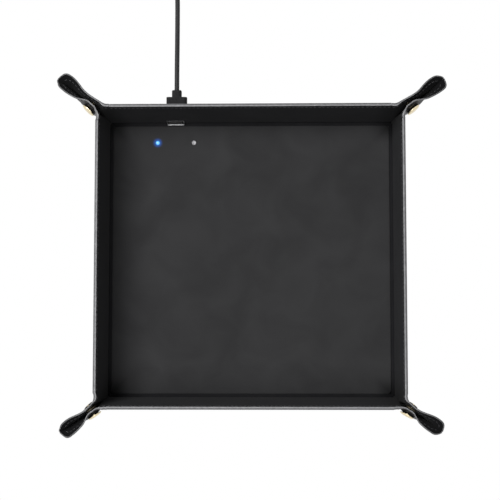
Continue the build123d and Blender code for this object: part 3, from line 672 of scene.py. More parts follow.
# %% Building a wall's two layers
WALLS = {
    "back": ((1, 0), (0, 1), "end"),
    "front": ((1, 0), (0, -1), "end"),
    "right": ((0, 1), (1, 0), "side"),
    "left": ((0, 1), (-1, 0), "side"),
}
# The lining of walls and leaves is the darker copy that carries painted shade
LAYERS = {
    "leather": ("leather_black", [leather, leather_edge]),
    "lining": ("lining_black", [wall_lining_painted_shade, lining_edge]),
}
FOLD_STRIP = (-0.8, 2.1)
NECK_TURN = math.radians(5)
WALL_COLUMNS = 61
creases = {}

# The slight unevenness of glued leather: its height, the size of its waves along and across the
# wall, which waves they are, and where it fades out towards the foot, the rim and the ears, in mm
RIPPLE_HEIGHT, RIPPLE_SIZE, RIPPLE_SEED = 0.16, (31, 17), 3.7
RIPPLE_FOOT, RIPPLE_RIM, RIPPLE_ENDS = (4, 12), (32, 38), (-26, -10)

# The mesh leans in towards the ears, but not close to the port: how far above and beside it in mm
# the lean comes back
PORT_ABOVE, PORT_BESIDE = (1, 6), (2, 30)


def ripple(u, v, half):
    """The unevenness at places of a wall of a given half length, in mm."""
    waves = np.array([noise.noise((a / RIPPLE_SIZE[0], b / RIPPLE_SIZE[1], RIPPLE_SEED))
                      for a, b in zip(u, v)])
    share = smooth_step(v, *RIPPLE_FOOT) * (1 - smooth_step(v, *RIPPLE_RIM))
    share *= 1 - smooth_step(abs(u) - half, *RIPPLE_ENDS)
    return share * RIPPLE_HEIGHT * waves


def on_wall(wall, u, v, z):
    """Places on the flat sheet in mm: u along a wall, v out from its joint and z up."""
    along, outward, kind = WALLS[wall]
    u, out, z = np.broadcast_arrays(u, v + SHEET[kind][1], z)
    return np.stack([u * along[0] + out * outward[0], u * along[1] + out * outward[1], z], axis=-1)


def layer_piece(body, layer, rings, slots, crease, before=None):
    """A layer of a wall or a leaf: drawn flat, folded up, and bending at its crease."""
    flat = np.concatenate(rings)
    standing = crease.settle(flat if before is None else before.turn(flat))
    faces, face_slots = loft(rings, slots)
    material_slot, finishes = LAYERS[layer]
    piece = add_mesh(f"{body}_{layer}_skin", standing, faces, face_slots, finishes, flat)
    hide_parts(f"{body}_{layer}")
    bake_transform(piece)


def wall_layer(wall, layer):
    """One layer of one wall, lofted from one end of the wall to the other."""
    half, _, seam_from = SHEET[WALLS[wall][2]]
    has_port = wall == "back" and layer == "lining"
    extra = [row + guard for row in port_rows for guard in PORT_GUARDS] if has_port else []
    profile, slots = wall_profile(layer, extra)
    v = profile[:, 0]
    columns = set(np.linspace(-1, 1, WALL_COLUMNS))
    if has_port:
        columns |= {(port_middle + side * port_half + guard) / half
                    for side in (-1, 1) for guard in PORT_GUARDS}
    beyond = v - seam_from
    narrowing = np.maximum(0, beyond) * math.tan(NECK_TURN)
    near_port = 1 - smooth_step(v - port_rows[1], *PORT_ABOVE)
    rings = []
    for column in sorted(columns):
        off_port = abs(column * half - port_middle) - port_half
        upright = near_port * (1 - smooth_step(off_port, *PORT_BESIDE)) if has_port else 0
        u = column * (half + np.minimum(0, beyond) - narrowing * (1 - upright))
        z = profile[:, 1] + ripple(u, v, half)
        if has_port:
            face = z > sheet_mid + 3 * LAYER_GAP
            inside = (abs(u - port_middle) < port_half) & (v > port_rows[0]) & (v < port_rows[1])
            z = np.where(face & inside, PORT_RECESS, z)
        rings.append(on_wall(wall, u, v, z) * MM)
    layer_piece(f"wall_{wall}", layer, rings, slots, creases[wall])


for wall, (_, outward, _) in WALLS.items():
    creases[wall] = Crease(f"fold_{wall}", (*outward, 0), FOLD_STRIP)
    for layer in LAYERS:
        wall_layer(wall, layer)
print("wall skins:", 2 * len(WALLS))

# %% [markdown]
# ## The pinched ears
#
# Beyond the two seams a square of sheet is left over at each corner. Its diagonal is the bottom of
# the ear: the two triangles beside it, the leaves, fold against each other with the lining inside
# and the snap holds them together. The free tip opens again like a spoon, because stiff leather
# won't stay pinched that far from the snap.
#
# A leaf is drawn on rays that fan out from the floor corner, so that its seam, its diagonal and its
# rim are all lines of the mesh. The rays start five degrees inside the wall, so that the rim sweeps
# into the ear in one curve. Past the diagonal the skin carries on round the back of the fold.
#
# Three things shape the folded leaf. Above the snap its edge is pinched inwards. Beyond it the two
# leaves open, more and more towards the tip, where the edge turns right over like the lip of a
# spoon. And the leather is skived, shaved thin from the back, where it has to bend this far.

# %% Shape of a leaf on the flat sheet
CORNERS = [(ahead, across) for ahead in ("back", "front") for across in ("right", "left")]
DIAGONAL = math.radians(45)
ROOT2 = math.sqrt(2)
SEAM_STRIP = (0.0, 8.0)

# The mesh: where rays start, their points and how far from the edge the last ones are, and the
# number of rays. The back of the fold turns by BACK_TURN, growing along the rays at BACK_STARTS.
LEAF_START, LEAF_POINTS, BEFORE_EDGE = 0.9, 26, (2.4, 1.4, 0.8)
LEAF_RAYS, BACK_STEPS = 45, 7
BACK_TURN, BACK_STARTS = math.radians(84), (1.5, 5.5)

# The spoon: half the angle between pinched leaves, how the opening grows along the diagonal with a
# last lift at the tip, which share of the thickness is shaved off, and where the tip bends aside
HALF_OPENING = math.radians(6.6)
FLARE_FROM, FLARE_RUN, FLARE_POWER = 37.0, 16.7, 1.9
TIP_FLARE, TIP_STRIP = math.radians(14), (50.0, 54.0)
SKIVE = 0.5
BEND_FROM, BEND_RUN, BEND_POWER = 22.0, 32.0, 1.2

# Lean moves the middle of the ear towards the end wall, roll its neck's edges and sway its tip.
# Pinch draws the neck's edges together and longer draws the tip out, all in mm. Flare is the angle
# by which each leaf opens at the tip. The fold line itself follows only a small share of the sway,
# so that the two leaves still meet when the sheet lies flat.
EAR_FORMS = {
    ("back", "right"): dict(lean=-0.8, roll=2.2, pinch=0.9, sway=-1.3, longer=3.0, flare=50),
    ("back", "left"): dict(lean=-0.8, roll=2.0, pinch=0.9, sway=2.2, longer=3.2, flare=50),
    ("front", "right"): dict(lean=0.9, roll=-1.5, pinch=1.2, sway=-0.8, longer=-3.0, flare=44),
    ("front", "left"): dict(lean=0.9, roll=-1.4, pinch=1.2, sway=2.4, longer=-2.8, flare=44),
}
FOLD_SWAY = 0.2

# Where these rise and fade, in mm. s runs along the diagonal and t away from it; near is the
# distance from the leaf's own seam, and far the distance along that seam.
SKIVE_NEAR, SKIVE_FAR, SKIVE_TIP = (0, 5), (33, 39), (33, 41)
NECK_NEAR, NECK_FADE, NECK_FROM = (0, 6), (10, 20), 33.5
MIDDLE_NEAR, MIDDLE_FAR, MIDDLE_FADE = (0, 8), (6, 28), (38, 50)
LEAN_OFF_FOLD, SWAY_OFF_FOLD = (2, 12), (0, 5)


def flips(corner):
    """The signs that take the back right corner to another one."""
    return (1 if corner[1] == "right" else -1), (1 if corner[0] == "back" else -1)


def leaf_reach(side):
    """From the floor corner to the rim along a seam."""
    return WALL_REACH - SHEET[side][2]


def ray_length(angle, side, inset=0.0):
    """Distance from the floor corner to the edge of the sheet at an angle from the seam."""
    reach = leaf_reach(side)
    centre = reach - CORNER_RADIUS
    reach, radius = reach - inset, CORNER_RADIUS - inset
    if reach * math.tan(angle) <= centre:
        return reach / math.cos(angle)
    middle = centre * (math.sin(angle) + math.cos(angle))
    return middle + math.sqrt(middle * middle - 2 * centre * centre + radius * radius)


def leaf_profile(layer, length):
    """Closed outline of a layer along a ray of a given length, as distances and depths."""
    along = [*np.linspace(LEAF_START, length - BEFORE_EDGE[0], LEAF_POINTS),
             *(length - before for before in (*BEFORE_EDGE[1:], EDGE_ROUND))]
    if layer == "lining":
        return layer_outline(along, [0.0] * len(along), sheet_thick / 2 - LAYER_GAP, length)
    return layer_outline(along, [sheet_thick] * len(along), sheet_thick / 2 + LAYER_GAP, length)


def opening(s, corner):
    """The angle by which a leaf has opened beyond its flat shape, at a distance along the diagonal."""
    share = np.clip((s - FLARE_FROM) / FLARE_RUN, 0, None)
    flat_tip = TIP_FLARE * smooth_step(s, *TIP_STRIP)
    return share ** FLARE_POWER * math.radians(EAR_FORMS[corner]["flare"]) + flat_tip


def leaf_place(s, t, depth, side, corner):
    """Flat places, in metres, of points of a leaf that has its spoon shape.

    s runs along the diagonal, t away from it towards the leaf's wall, and depth below the lining.
    """
    form = EAR_FORMS[corner]
    toward_end = 1 if side == "end" else -1
    near, far = (s - t) / ROOT2, (s + t) / ROOT2
    at_rim = smooth_step(near, *SKIVE_NEAR) * smooth_step(far, *SKIVE_FAR)
    at_tip = smooth_step(s, *SKIVE_TIP)
    at_neck = smooth_step(near, *NECK_NEAR) * (1 - smooth_step(near, *NECK_FADE))
    at_neck *= smooth_step(far, NECK_FROM, leaf_reach(side))
    at_middle = smooth_step(near, *MIDDLE_NEAR) * smooth_step(far, *MIDDLE_FAR)
    at_middle *= (1 - smooth_step(s, *MIDDLE_FADE)) * smooth_step(t, *LEAN_OFF_FOLD)
    swaying = FOLD_SWAY + (1 - FOLD_SWAY) * smooth_step(t, *SWAY_OFF_FOLD)
    depth = depth * (1 - SKIVE * (at_rim + at_tip - at_rim * at_tip))
    opened = opening(s, corner)
    out = t * np.sin(opened) + depth * np.cos(opened)
    t = t * np.cos(opened) - depth * np.sin(opened)
    bend = np.clip((s - BEND_FROM) / BEND_RUN, 0, None) ** BEND_POWER
    moved = toward_end * (form["lean"] * at_middle + form["sway"] * bend * swaying)
    out = out + moved * math.cos(HALF_OPENING) + (toward_end * form["roll"] - form["pinch"]) * at_neck
    t = t - moved * math.sin(HALF_OPENING)
    s = s + form["longer"] * bend
    near, far = (s - t) / ROOT2, (s + t) / ROOT2
    x, y = (seam_x + near, seam_y + far) if side == "end" else (seam_x + far, seam_y + near)
    flip_x, flip_y = flips(corner)
    return np.stack([x * flip_x, y * flip_y, sheet_top - out], axis=-1) * MM


print("flat leaf, seam and diagonal in mm:", round(leaf_reach("end"), 1),
      round(ray_length(DIAGONAL, "end"), 1))


# %% Building a leaf's two layers
def ear_body(corner, side):
    """Name of the body that a leaf belongs to."""
    return f"ear_{corner[0]}_{corner[1]}_{side}"


def wall_crease(corner, side):
    """The crease of the wall that a leaf hangs on."""
    return creases[corner[0] if side == "end" else corner[1]]


def leaf_rings(layer, side, corner):
    """Rings of the flat leaf, from its wall to the diagonal and round the back of the fold."""
    rings = []
    for angle in np.linspace(-NECK_TURN, DIAGONAL, LEAF_RAYS):
        profile, slots = leaf_profile(layer, ray_length(angle, side))
        s = profile[:, 0] * math.cos(DIAGONAL - angle)
        t = profile[:, 0] * math.sin(DIAGONAL - angle)
        rings.append(leaf_place(s, t, profile[:, 1], side, corner))
    s, depth = profile[:, 0], profile[:, 1]
    full_turn = np.clip(BACK_TURN * smooth_step(s, *BACK_STARTS) - 2 * opening(s, corner), 0, None)
    for share in np.linspace(0, 1, BACK_STEPS)[1:]:
        turn = share * full_turn
        rings.append(leaf_place(s, -depth * np.sin(turn), depth * np.cos(turn), side, corner))
    return rings, slots


for corner in CORNERS:
    flip_x, flip_y = flips(corner)
    for side in ("end", "side"):
        wall = wall_crease(corner, side)
        outward = (flip_x, 0, 0) if side == "end" else (0, flip_y, 0)
        inside, up = math.sin(NECK_TURN), math.cos(NECK_TURN)
        ray = (-inside * flip_x, up * flip_y, 0) if side == "end" else (up * flip_x, -inside * flip_y, 0)
        border = unit(wall.turn(wall.point + ray) - wall.point)
        name = f"open_{corner[0]}_{corner[1]}_{side}"
        body = ear_body(corner, side)
        creases[body] = Crease(name, outward, SEAM_STRIP, border)
        for layer in LAYERS:
            rings, slots = leaf_rings(layer, side, corner)
            layer_piece(body, layer, rings, slots, creases[body], before=wall)
print("leaf skins:", 4 * len(CORNERS))

# %% [markdown]
# ## The snaps
#
# Each leaf carries one half of a ring snap. Outside is a domed cap, pressed from brass, on the leaf
# that is seen and a flat washer on the other. Its post goes through the sheet, and the stud or the
# socket is crimped onto it inside. All of them are turned shapes, so each is a profile that is spun
# about an axis. The cap stands square on its leaf; stud and socket face each other, so that they
# slide into one another when the ear is pinched.

# %% Snaps on the leaves
SPIN_STEPS = 40
SNAP_NEAR, SNAP_FAR = 9.2, 34.2
POST_RADIUS = 1.5
CAP_SIDE = {"back": "side", "front": "end"}

# A spun circle starts square to the first direction, or to the second where its axis is upright
SLANTED, ALONG_X, UPRIGHT = (0.31, 0.17, 0.94), (1.0, 0.0, 0.0), 0.9

# Profiles as (height, radius) in mm: cap and washer from the top down through the sheet, stud and
# socket from the lining up
CAP = ((1.4, 0.2), (1.38, 1.6), (1.28, 3.0), (1.08, 4.1), (0.8, 4.8), (0.45, 5.16), (0.15, 5.2),
       (0.02, 4.95), (0.02, POST_RADIUS), (-2.1, POST_RADIUS), (-2.12, 0.2))
WASHER = ((0.3, 1.2), (0.35, 1.6), (0.3, 3.2), (0.15, 3.55), (0.02, 3.5), (0.02, POST_RADIUS),
          (-2.1, POST_RADIUS), (-2.12, 0.2), (0.1, 0.2), (0.12, 0.9))
STUD = ((0.02, 0.2), (0.02, 3.3), (0.3, 3.5), (0.55, 3.2), (0.6, 1.6), (1.5, 1.55), (2.1, 1.85), (2.5, 1.7),
        (2.75, 1.1), (2.8, 0.2))
SOCKET = ((0.02, 0.2), (0.02, 3.9), (0.4, 4.2), (1.3, 4.15), (1.7, 3.8), (1.75, 2.7), (1.5, 2.3),
          (0.55, 2.3), (0.5, 0.2))


def spun(profile, foot, axis):
    """Rings of a closed turned shape, from a profile of (height, radius), in metres."""
    axis = unit(axis)
    across = unit(np.cross(axis, SLANTED if abs(axis[2]) < UPRIGHT else ALONG_X))
    third = np.cross(axis, across)
    turns = np.linspace(0, 2 * math.pi, SPIN_STEPS + 1)[:-1, None]
    circle = np.cos(turns) * across + np.sin(turns) * third
    return [foot + axis * height * MM + circle * radius * MM for height, radius in profile]


def standing_point(s, t, depth, side, corner):
    """Where a point of a leaf is on the standing tray."""
    flat = leaf_place(np.array([s]), np.array([t]), np.array([depth]), side, corner)
    return creases[ear_body(corner, side)].settle(wall_crease(corner, side).turn(flat))[0]


def leaf_spot(side, corner):
    """The snap's middle on the lining and on the leather, and the way out of the leaf."""
    s, t = (SNAP_NEAR + SNAP_FAR) / ROOT2, (SNAP_FAR - SNAP_NEAR) / ROOT2
    inner, outer = (standing_point(s, t, depth, side, corner) for depth in (0.0, sheet_thick))
    along = standing_point(s + 1, t, 0.0, side, corner) - standing_point(s - 1, t, 0.0, side, corner)
    upward = standing_point(s, t + 1, 0.0, side, corner) - standing_point(s, t - 1, 0.0, side, corner)
    normal = unit(np.cross(along, upward))
    return inner, outer, normal * np.sign(normal @ (outer - inner))


for corner in CORNERS:
    spots = {side: leaf_spot(side, corner) for side in ("end", "side")}
    for side, other, inside in (("end", "side", STUD), ("side", "end", SOCKET)):
        inner, outer, normal = spots[side]
        body = ear_body(corner, side)
        shown = CAP if side == CAP_SIDE[corner[0]] else WASHER
        shapes = [spun(shown, outer, normal), spun(inside, inner, spots[other][0] - inner)]
        # The stud and socket take the darker brass, painted shade in the pinch between the leaves
        snap = lofted_piece(f"{body}_ring_snap", shapes, [plated_brass, shaded_brass])
        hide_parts(f"{body}_snap")
        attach(snap, body)
snap_gap = float(np.linalg.norm(spots["side"][0] - spots["end"][0])) / MM
print("gap between the linings at a snap in mm:", round(snap_gap, 2))

# %% [markdown]
# ## The floor lining
#
# The floor is a board with the lining wrapped over it, so its edge is soft and rounded and stands
# above the gutter. It is lofted from rounded rectangles, with two round holes punched for the
# lenses.

# %% Loops and cuts
def rounded_loop(half_x, half_y, radius, z, steps=8):
    """Points of a rounded rectangle at a height, in mm."""
    points = []
    for turn, sx, sy in ((0, 1, 1), (90, -1, 1), (180, -1, -1), (270, 1, -1)):
        for step in range(steps + 1):
            angle = math.radians(turn + 90 * step / steps)
            points.append(
                (sx * (half_x - radius) + radius * math.cos(angle),
                 sy * (half_y - radius) + radius * math.sin(angle), z)
            )
    return np.array(points)


def loop_across_lead(half_x, half_z, radius, y):
    """Points of a rounded rectangle that stands square to the lead, in mm."""
    loop = rounded_loop(half_x, half_z, radius, 0)
    return np.stack([loop[:, 0] + lead_x, np.full(len(loop), y), loop[:, 1] + plug_z], axis=-1)


def round_loop(x, y, radius, z, steps):
    """Points of a level circle, in mm."""
    return np.array([(x + radius * math.cos(a), y + radius * math.sin(a), z)
                     for a in np.linspace(0, 2 * math.pi, steps + 1)[:-1]])


def loop_piece(name, loops, finish):
    """A closed skin through loops, given from the first cap to the last."""
    return lofted_piece(name, [[loop * MM for loop in loops]], [finish])


def cut(piece, cutter):
    """Takes the cutter's shape out of a piece, and removes the cutter."""
    modifier = piece.modifiers.new("cut", "BOOLEAN")
    modifier.operation = "DIFFERENCE"
    modifier.solver = "EXACT"
    modifier.object = cutter
    bpy.context.view_layer.update()
    mesh = bpy.data.meshes.new_from_object(piece.evaluated_get(bpy.context.evaluated_depsgraph_get()))
    mesh.set_sharp_from_angle(angle=SHARP_ANGLE)
    places = np.array([vertex.co for vertex in mesh.vertices], np.float32)
    mesh.attributes["pattern"].data.foreach_set("vector", places.ravel())
    piece.modifiers.remove(modifier)
    piece.data = mesh
    bpy.data.objects.remove(cutter)


# %% The floor lining
FLOOR_CORNER, FLOOR_CORNER_LEAST = 3.0, 0.1
FLOOR_WRAP = 0.18
LENS_HOLE = 1.72
HOLE_LEVELS = (9.0, 12.0)
HOLE_STEPS = 48

# The lining's edge from below the board up and over it, as (inset, height) in mm
FLOOR_LIP = [(3.0, 9.1), (0.1, 9.1), (0.0, 9.3), (0.0, 10.3), (0.04, 10.6), (0.18, 10.82),
             (0.45, 10.95), (0.9, 11.0), (2.6, 11.0), (2.9, 11.0)]
floor_high = box_mm("floor_board")[1]
floor_loops = [
    rounded_loop(floor_high.x + FLOOR_WRAP - inset, floor_high.y + FLOOR_WRAP - inset,
                 max(FLOOR_CORNER - inset, FLOOR_CORNER_LEAST), z)
    for inset, z in FLOOR_LIP
]
floor_skin = loop_piece("floor_lining_skin", floor_loops, floor_microfibre)
for name in ("light_lens_left", "light_lens_right"):
    low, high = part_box(name)
    middle = (low + high) / 2 / MM
    rings = [round_loop(middle.x, middle.y, LENS_HOLE, z, HOLE_STEPS) for z in HOLE_LEVELS]
    cut(floor_skin, loop_piece("lens_hole", rings, floor_microfibre))
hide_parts("floor_lining")
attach(floor_skin, "root")
print("floor faces:", len(floor_skin.data.polygons))

# %% [markdown]
# ## The base
#
# Under the walls the same leather wraps the base: a shallow pan whose foot is rounded where the
# leather turns, with a line of stitching set into a groove on the underside. Its back has the slot
# that the plug goes into.

# %% The leather pan of the base
BASE_CORNER, BASE_CORNER_LEAST = 4.0, 0.6
PAN_WALL = 1.0
MOUTH_GAP = 0.3
MOUTH_REACH = 3.0
MOUTH_STRAIGHT = 0.01

# From the middle of the underside, over the groove, up the outside and down the inside
PAN_LOOPS = [
    (30.0, 0.0), (5.4, 0.0), (5.0, 0.28), (4.2, 0.28), (3.8, 0.0), (0.95, 0.0), (0.45, 0.1), (0.14, 0.4),
    (0.0, 0.95), (0.0, 7.6), (0.06, 8.6), (0.3, 9.1), (0.75, 9.1), (PAN_WALL, 8.8), (PAN_WALL, PAN_WALL),
    (30.0, PAN_WALL),
]
pan_loops = [
    rounded_loop(hinge_x - inset, hinge_y - inset, max(BASE_CORNER - inset, BASE_CORNER_LEAST), z)
    for inset, z in PAN_LOOPS
]
base_skin = loop_piece("base_leather_skin", pan_loops, leather)
inlet_low, inlet_high = box_mm("power_inlet")
mouth_half_x = (inlet_high.x - inlet_low.x) / 2 + MOUTH_GAP
mouth_half_z = (inlet_high.z - inlet_low.z) / 2 + MOUTH_GAP
rings = [loop_across_lead(mouth_half_x, mouth_half_z, mouth_half_z - MOUTH_STRAIGHT, hinge_y + reach)
         for reach in (-MOUTH_REACH, MOUTH_REACH)]
cut(base_skin, loop_piece("plug_mouth", rings, leather))
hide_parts("base_leather")
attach(base_skin, "root")
print("base faces:", len(base_skin.data.polygons))

# %% [markdown]
# ## Port frame, strain relief and lens
#
# The frame of the port at the foot of the back wall is pressed steel with a black plastic throat. Its
# face is tipped up, so that its lower bar catches the light. The lead leaves the plug through a short
# relief with rounded corners, moulded in one shot with it. The unlit lens is a clear rod with a
# dished end that sits just proud of the floor.

# %% Port frame
PORT_BAR = 0.5
FRAME_ROUND, ROUND_STEP = 0.18, 0.18 * 0.3
FRAME_CORNER, FRAME_CORNER_LEAST = 0.7, 0.2
FRAME_PROUD = (1.5, -0.1)
DEEP = 9.0

# The bar's section from deep in the wall over its face and down into the throat, as (inset, drop)
BAR_SECTION = (
    (0.0, DEEP), (0.0, FRAME_ROUND), (ROUND_STEP, ROUND_STEP), (FRAME_ROUND, 0.0),
    (PORT_BAR - FRAME_ROUND, 0.0), (PORT_BAR - ROUND_STEP, ROUND_STEP), (PORT_BAR, FRAME_ROUND),
    (PORT_BAR, DEEP),
)


def frame_loop(inset, drop):
    """A loop round the port on the flat wall, at a depth below the frame's tipped face, in metres."""
    half_x, half_y = port_half - PORT_MARGIN - inset, PORT_HEIGHT / 2 - inset
    loop = rounded_loop(half_x, half_y, max(FRAME_CORNER - inset, FRAME_CORNER_LEAST), 0)
    share = (loop[:, 1] + PORT_HEIGHT / 2) / PORT_HEIGHT
    proud = FRAME_PROUD[0] + (FRAME_PROUD[1] - FRAME_PROUD[0]) * share
    z = np.maximum(sheet_top + proud - drop, PORT_RECESS + LAYER_GAP)
    return on_wall("back", loop[:, 0] + port_middle, loop[:, 1] + PORT_FOOT + PORT_HEIGHT / 2, z) * MM


rings = [frame_loop(inset, drop) for inset, drop in BAR_SECTION]
flat = np.concatenate(rings)
faces = [tuple(at % len(flat) for at in face) for face in loft([*rings, rings[0]])[0][:-2]]
throat_from = len(faces) * (len(rings) - 2) // len(rings)
slots = [1 if at >= throat_from else 0 for at in range(len(faces))]
port_frame = add_mesh("port_frame", creases["back"].turn(flat), faces, slots, [nickel, port_plastic], flat)
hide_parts("port_shell")
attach(port_frame, "wall_back")
print("port frame in mm:", round(2 * (port_half - PORT_MARGIN), 1), "by", PORT_HEIGHT)

# %% Strain relief and unlit lens
RELIEF_HALF = (3.65, 3.0)
RELIEF_CORNER = 2.1

# (distance back, inset) of the relief's sections, and (height, radius) of the lens, in mm
RELIEF_SECTIONS = ((0.0, 0.0), (4.7, 0.0), (5.15, 0.12), (5.4, 0.4), (5.5, 0.9))
LENS_PROFILE = ((4.9, 0.2), (4.9, 2.5), (8.4, 2.5), (8.45, 1.6), (11.1, 1.6), (11.3, 1.5), (11.32, 1.4),
                (11.1, 1.15), (10.5, 0.5), (10.4, 0.15))
rings = [
    loop_across_lead(RELIEF_HALF[0] - inset, RELIEF_HALF[1] - inset, RELIEF_CORNER - inset,
                     relief_low.y + back)
    for back, inset in RELIEF_SECTIONS
]
relief = loop_piece("lead_relief", rings, pvc_plug)
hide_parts("strain_relief")
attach(relief, "lead")

low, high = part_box("light_lens_right")
foot = np.array([(low.x + high.x) / 2, (low.y + high.y) / 2, 0.0])
lens = lofted_piece("unlit_lens", [spun(LENS_PROFILE, foot, (0, 0, 1))], [clear_pipe])
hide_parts("light_lens_right")
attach(lens, "root")
print("relief in mm:", RELIEF_SECTIONS[-1][0], "long")

# %% [markdown]
# ## Stitching
#
# A row of black bonded nylon runs round the whole sheet, 3.2 mm in from the cut edge, at about eight
# stitches to the inch. Each stitch is a short length of thread that dips into its needle holes, so
# it is a small closed mesh and catches the light by itself. The rows are laid on the flat sheet and
# folded with it.

# %% Stitches along a line
STITCH_INSET = 3.2
STITCH_PITCH = 3.1
STITCH_LENGTH = 2.5
THREAD_RADIUS = 0.26
THREAD_FLATNESS = 0.8
THREAD_SIDES = 8

# Sections of a stitch: place along it, thickness, and height over the leather in mm
STITCH_SECTIONS = ((-0.5, 0.35, -0.2), (-0.36, 0.8, 0.0), (-0.1, 1.0, 0.1), (0.1, 1.0, 0.1),
                   (0.36, 0.8, 0.0), (0.5, 0.35, -0.2))


def evenly(points, ups):
    """Centres, headings and upward directions of stitches along a line of points, in mm."""
    points, ups = np.asarray(points, float), np.asarray(ups, float)
    run = np.concatenate([[0], np.cumsum(np.linalg.norm(np.diff(points, axis=0), axis=1))])
    count = max(int(run[-1] / STITCH_PITCH), 1)
    at = (run[-1] - count * STITCH_PITCH) / 2 + (np.arange(count) + 0.5) * STITCH_PITCH

    def follow(values, places):
        return np.stack([np.interp(places, run, values[:, axis]) for axis in range(3)], axis=1)

    ahead = follow(points, at + STITCH_LENGTH / 4) - follow(points, at - STITCH_LENGTH / 4)
    return [(c, unit(h), unit(u)) for c, h, u in zip(follow(points, at), ahead, follow(ups, at))]


def stitch(centre, ahead, up):
    """Rings of one stitch, a short closed thread that dips at its ends."""
    sideways = np.cross(up, ahead)
    turns = 2 * math.pi * np.arange(THREAD_SIDES)[:, None] / THREAD_SIDES
    rings = []
    for along, width, lift in STITCH_SECTIONS:
        radius = THREAD_RADIUS * width
        middle = centre + ahead * along * STITCH_LENGTH + up * lift
        round_it = sideways * np.cos(turns) + up * np.sin(turns) * THREAD_FLATNESS
        rings.append((middle + round_it * radius) * MM)
    return rings


def add_stitches(name, places, crease=None, before=None, body=None):
    """A row of stitches as one piece that bends with its leaf or rides on its body."""
    flat, faces, _ = join_lofts([stitch(*place) for place in places])
    placed = flat if before is None else before.turn(flat)
    if crease is not None:
        placed = crease.settle(placed)
    piece = add_mesh(name, placed, faces, [0] * len(faces), [thread], flat)
    if crease is None:
        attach(piece, body)
    else:
        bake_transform(piece)


# %% Rows on the walls, the leaves and the underside
FACES = {"inner": (0.0, 1, "lining_black"), "outer": (sheet_thick, -1, "leather_black")}
ROW_POINTS = 90
ROW_END = 0.03
LIFT_STEP = 0.2
BOTTOM_INSET, BOTTOM_CORNER = 4.6, 1.0
GROOVE_DEPTH = 0.3

for wall, (_, _, kind) in WALLS.items():
    half = SHEET[kind][0] - (leaf_reach(kind) - STITCH_INSET) * math.tan(NECK_TURN)
    for face, (depth, up, slot) in FACES.items():
        ends = on_wall(wall, np.array([-half, half]), WALL_REACH - STITCH_INSET, sheet_top - depth)
        add_stitches(f"wall_{wall}_{face}_stitches", evenly(ends, [(0, 0, up)] * 2),
                     before=creases[wall], body=f"wall_{wall}")

for corner in CORNERS:
    for side in ("end", "side"):
        body = ear_body(corner, side)
        angles = np.linspace(-NECK_TURN, DIAGONAL - ROW_END, ROW_POINTS)
        lengths = np.array([ray_length(angle, side, STITCH_INSET) for angle in angles])
        s, t = lengths * np.cos(DIAGONAL - angles), lengths * np.sin(DIAGONAL - angles)
        for face, (depth, up, slot) in FACES.items():
            line = leaf_place(s, t, depth, side, corner) / MM
            below = leaf_place(s, t, depth + up * LIFT_STEP, side, corner) / MM
            add_stitches(f"{body}_{face}_stitches", evenly(line, line - below),
                         crease=creases[body], before=wall_crease(corner, side))

loop = rounded_loop(hinge_x - BOTTOM_INSET, hinge_y - BOTTOM_INSET, BOTTOM_CORNER, GROOVE_DEPTH)
loop = np.vstack([loop, loop[:1]])
add_stitches("base_stitches", evenly(loop, [(0, 0, -1)] * len(loop)), body="root")

# %% [markdown]
# ## Where the creases meet
#
# At each floor corner two wall creases and the ear's diagonal come together, and the lining puckers
# into a small round knot. It stays on the base when the tray is opened.

# %% Corner knots
KNOT_RADIUS, KNOT_RADIUS_LEAST = 2.2, 0.2
KNOT_INSET = 0.4
KNOT_SUNK = 0.3
KNOT_STEPS, KNOT_LEVELS = 28, 9
KNOT_BLUNTNESS = 4
for corner in CORNERS:
    rings = []
    for level in np.linspace(-1, 1, KNOT_LEVELS):
        round_off = math.sqrt(max(1 - level ** KNOT_BLUNTNESS, 0))
        radius = max(KNOT_RADIUS * round_off, KNOT_RADIUS_LEAST)
        height = sheet_mid - KNOT_SUNK + level * (sheet_top - sheet_mid - KNOT_SUNK)
        ring = round_loop(seam_x - KNOT_INSET, seam_y - KNOT_INSET, radius, height, KNOT_STEPS)
        rings.append(ring * (*flips(corner), 1))
    # The knots take the darker lining that carries painted shade
    knot = loop_piece(f"corner_knot_{corner[0]}_{corner[1]}", rings, wall_lining_painted_shade)
    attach(knot, "root")
print("knots:", len(CORNERS))

# %% [markdown]
# ## Light and ground
#
# The tray stands on a white table under a big soft box above and to the upper left, which lights
# the floor evenly, leaves the left wall dark and brightens the right one. A weaker box in front
# lifts the shadows. Table and world are plain white to the camera and in reflections, whatever
# falls on them. To all other light the table is matt white paint and the world is nearly black.

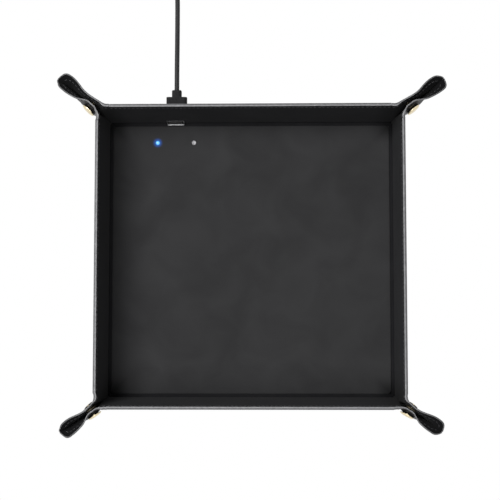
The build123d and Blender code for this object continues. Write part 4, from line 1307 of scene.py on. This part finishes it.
# %% Table
TABLE_HALF = 3.0
TABLE_Z = -0.0002


def seen_by(tree, *kinds):
    """1 for rays straight from the camera and for the other kinds of ray named, else 0."""
    rays = add(tree, "LightPath").outputs
    seen = rays["Is Camera Ray"]
    for kind in kinds:
        seen = calculate(tree, "MAXIMUM", seen, rays[f"Is {kind} Ray"])
    return seen


table_material = bpy.data.materials.new("white_table")
table_material.use_nodes = True
tree = table_material.node_tree
tree.nodes.clear()
paint = add(tree, "BsdfDiffuse", {"Color": linear("#f4f4f4")})
white = add(tree, "Emission", {"Color": linear("#ffffff"), "Strength": 1.0})
seen = seen_by(tree, "Glossy", "Transmission")
both = add(tree, "MixShader", {0: seen, 1: paint.outputs[0], 2: white.outputs[0]})
add(tree, "OutputMaterial", {"Surface": both.outputs[0]})
corners = [(x * TABLE_HALF, y * TABLE_HALF, TABLE_Z) for x, y in ((-1, -1), (1, -1), (1, 1), (-1, 1))]
mesh = bpy.data.meshes.new("table")
mesh.from_pydata(corners, [], [(0, 1, 2, 3)])
mesh.materials.append(table_material)
table = put("table", mesh)
print("table in m:", 2 * TABLE_HALF)

# %% Lamps and world
AMBIENT = 0.04


def area_lamp(name, place, size, watts):
    """A square soft box that points at the middle of the tray."""
    light = bpy.data.lights.new(name, "AREA")
    light.size = size
    light.energy = watts
    lamp = put(name, light)
    lamp.location = place
    lamp.rotation_euler = (-Vector(place)).to_track_quat("-Z", "Y").to_euler()


area_lamp("soft_box", place=(-0.75, 0.35, 1.3), size=0.8, watts=15.5)
area_lamp("fill_box", place=(0.0, -0.6, 1.35), size=0.8, watts=6.0)
world = bpy.data.worlds.new("studio")
world.use_nodes = True
scene.world = world
tree = world.node_tree
backdrop = tree.nodes["Background"]
backdrop.inputs["Color"].default_value = linear("#ffffff")
level = spread(tree, seen_by(tree, "Glossy"), 0.0, 1.0, AMBIENT, 1.0)
tree.links.new(level, backdrop.inputs["Strength"])
scene.view_settings.view_transform = "Standard"
print("lamps:", len(bpy.data.lights))
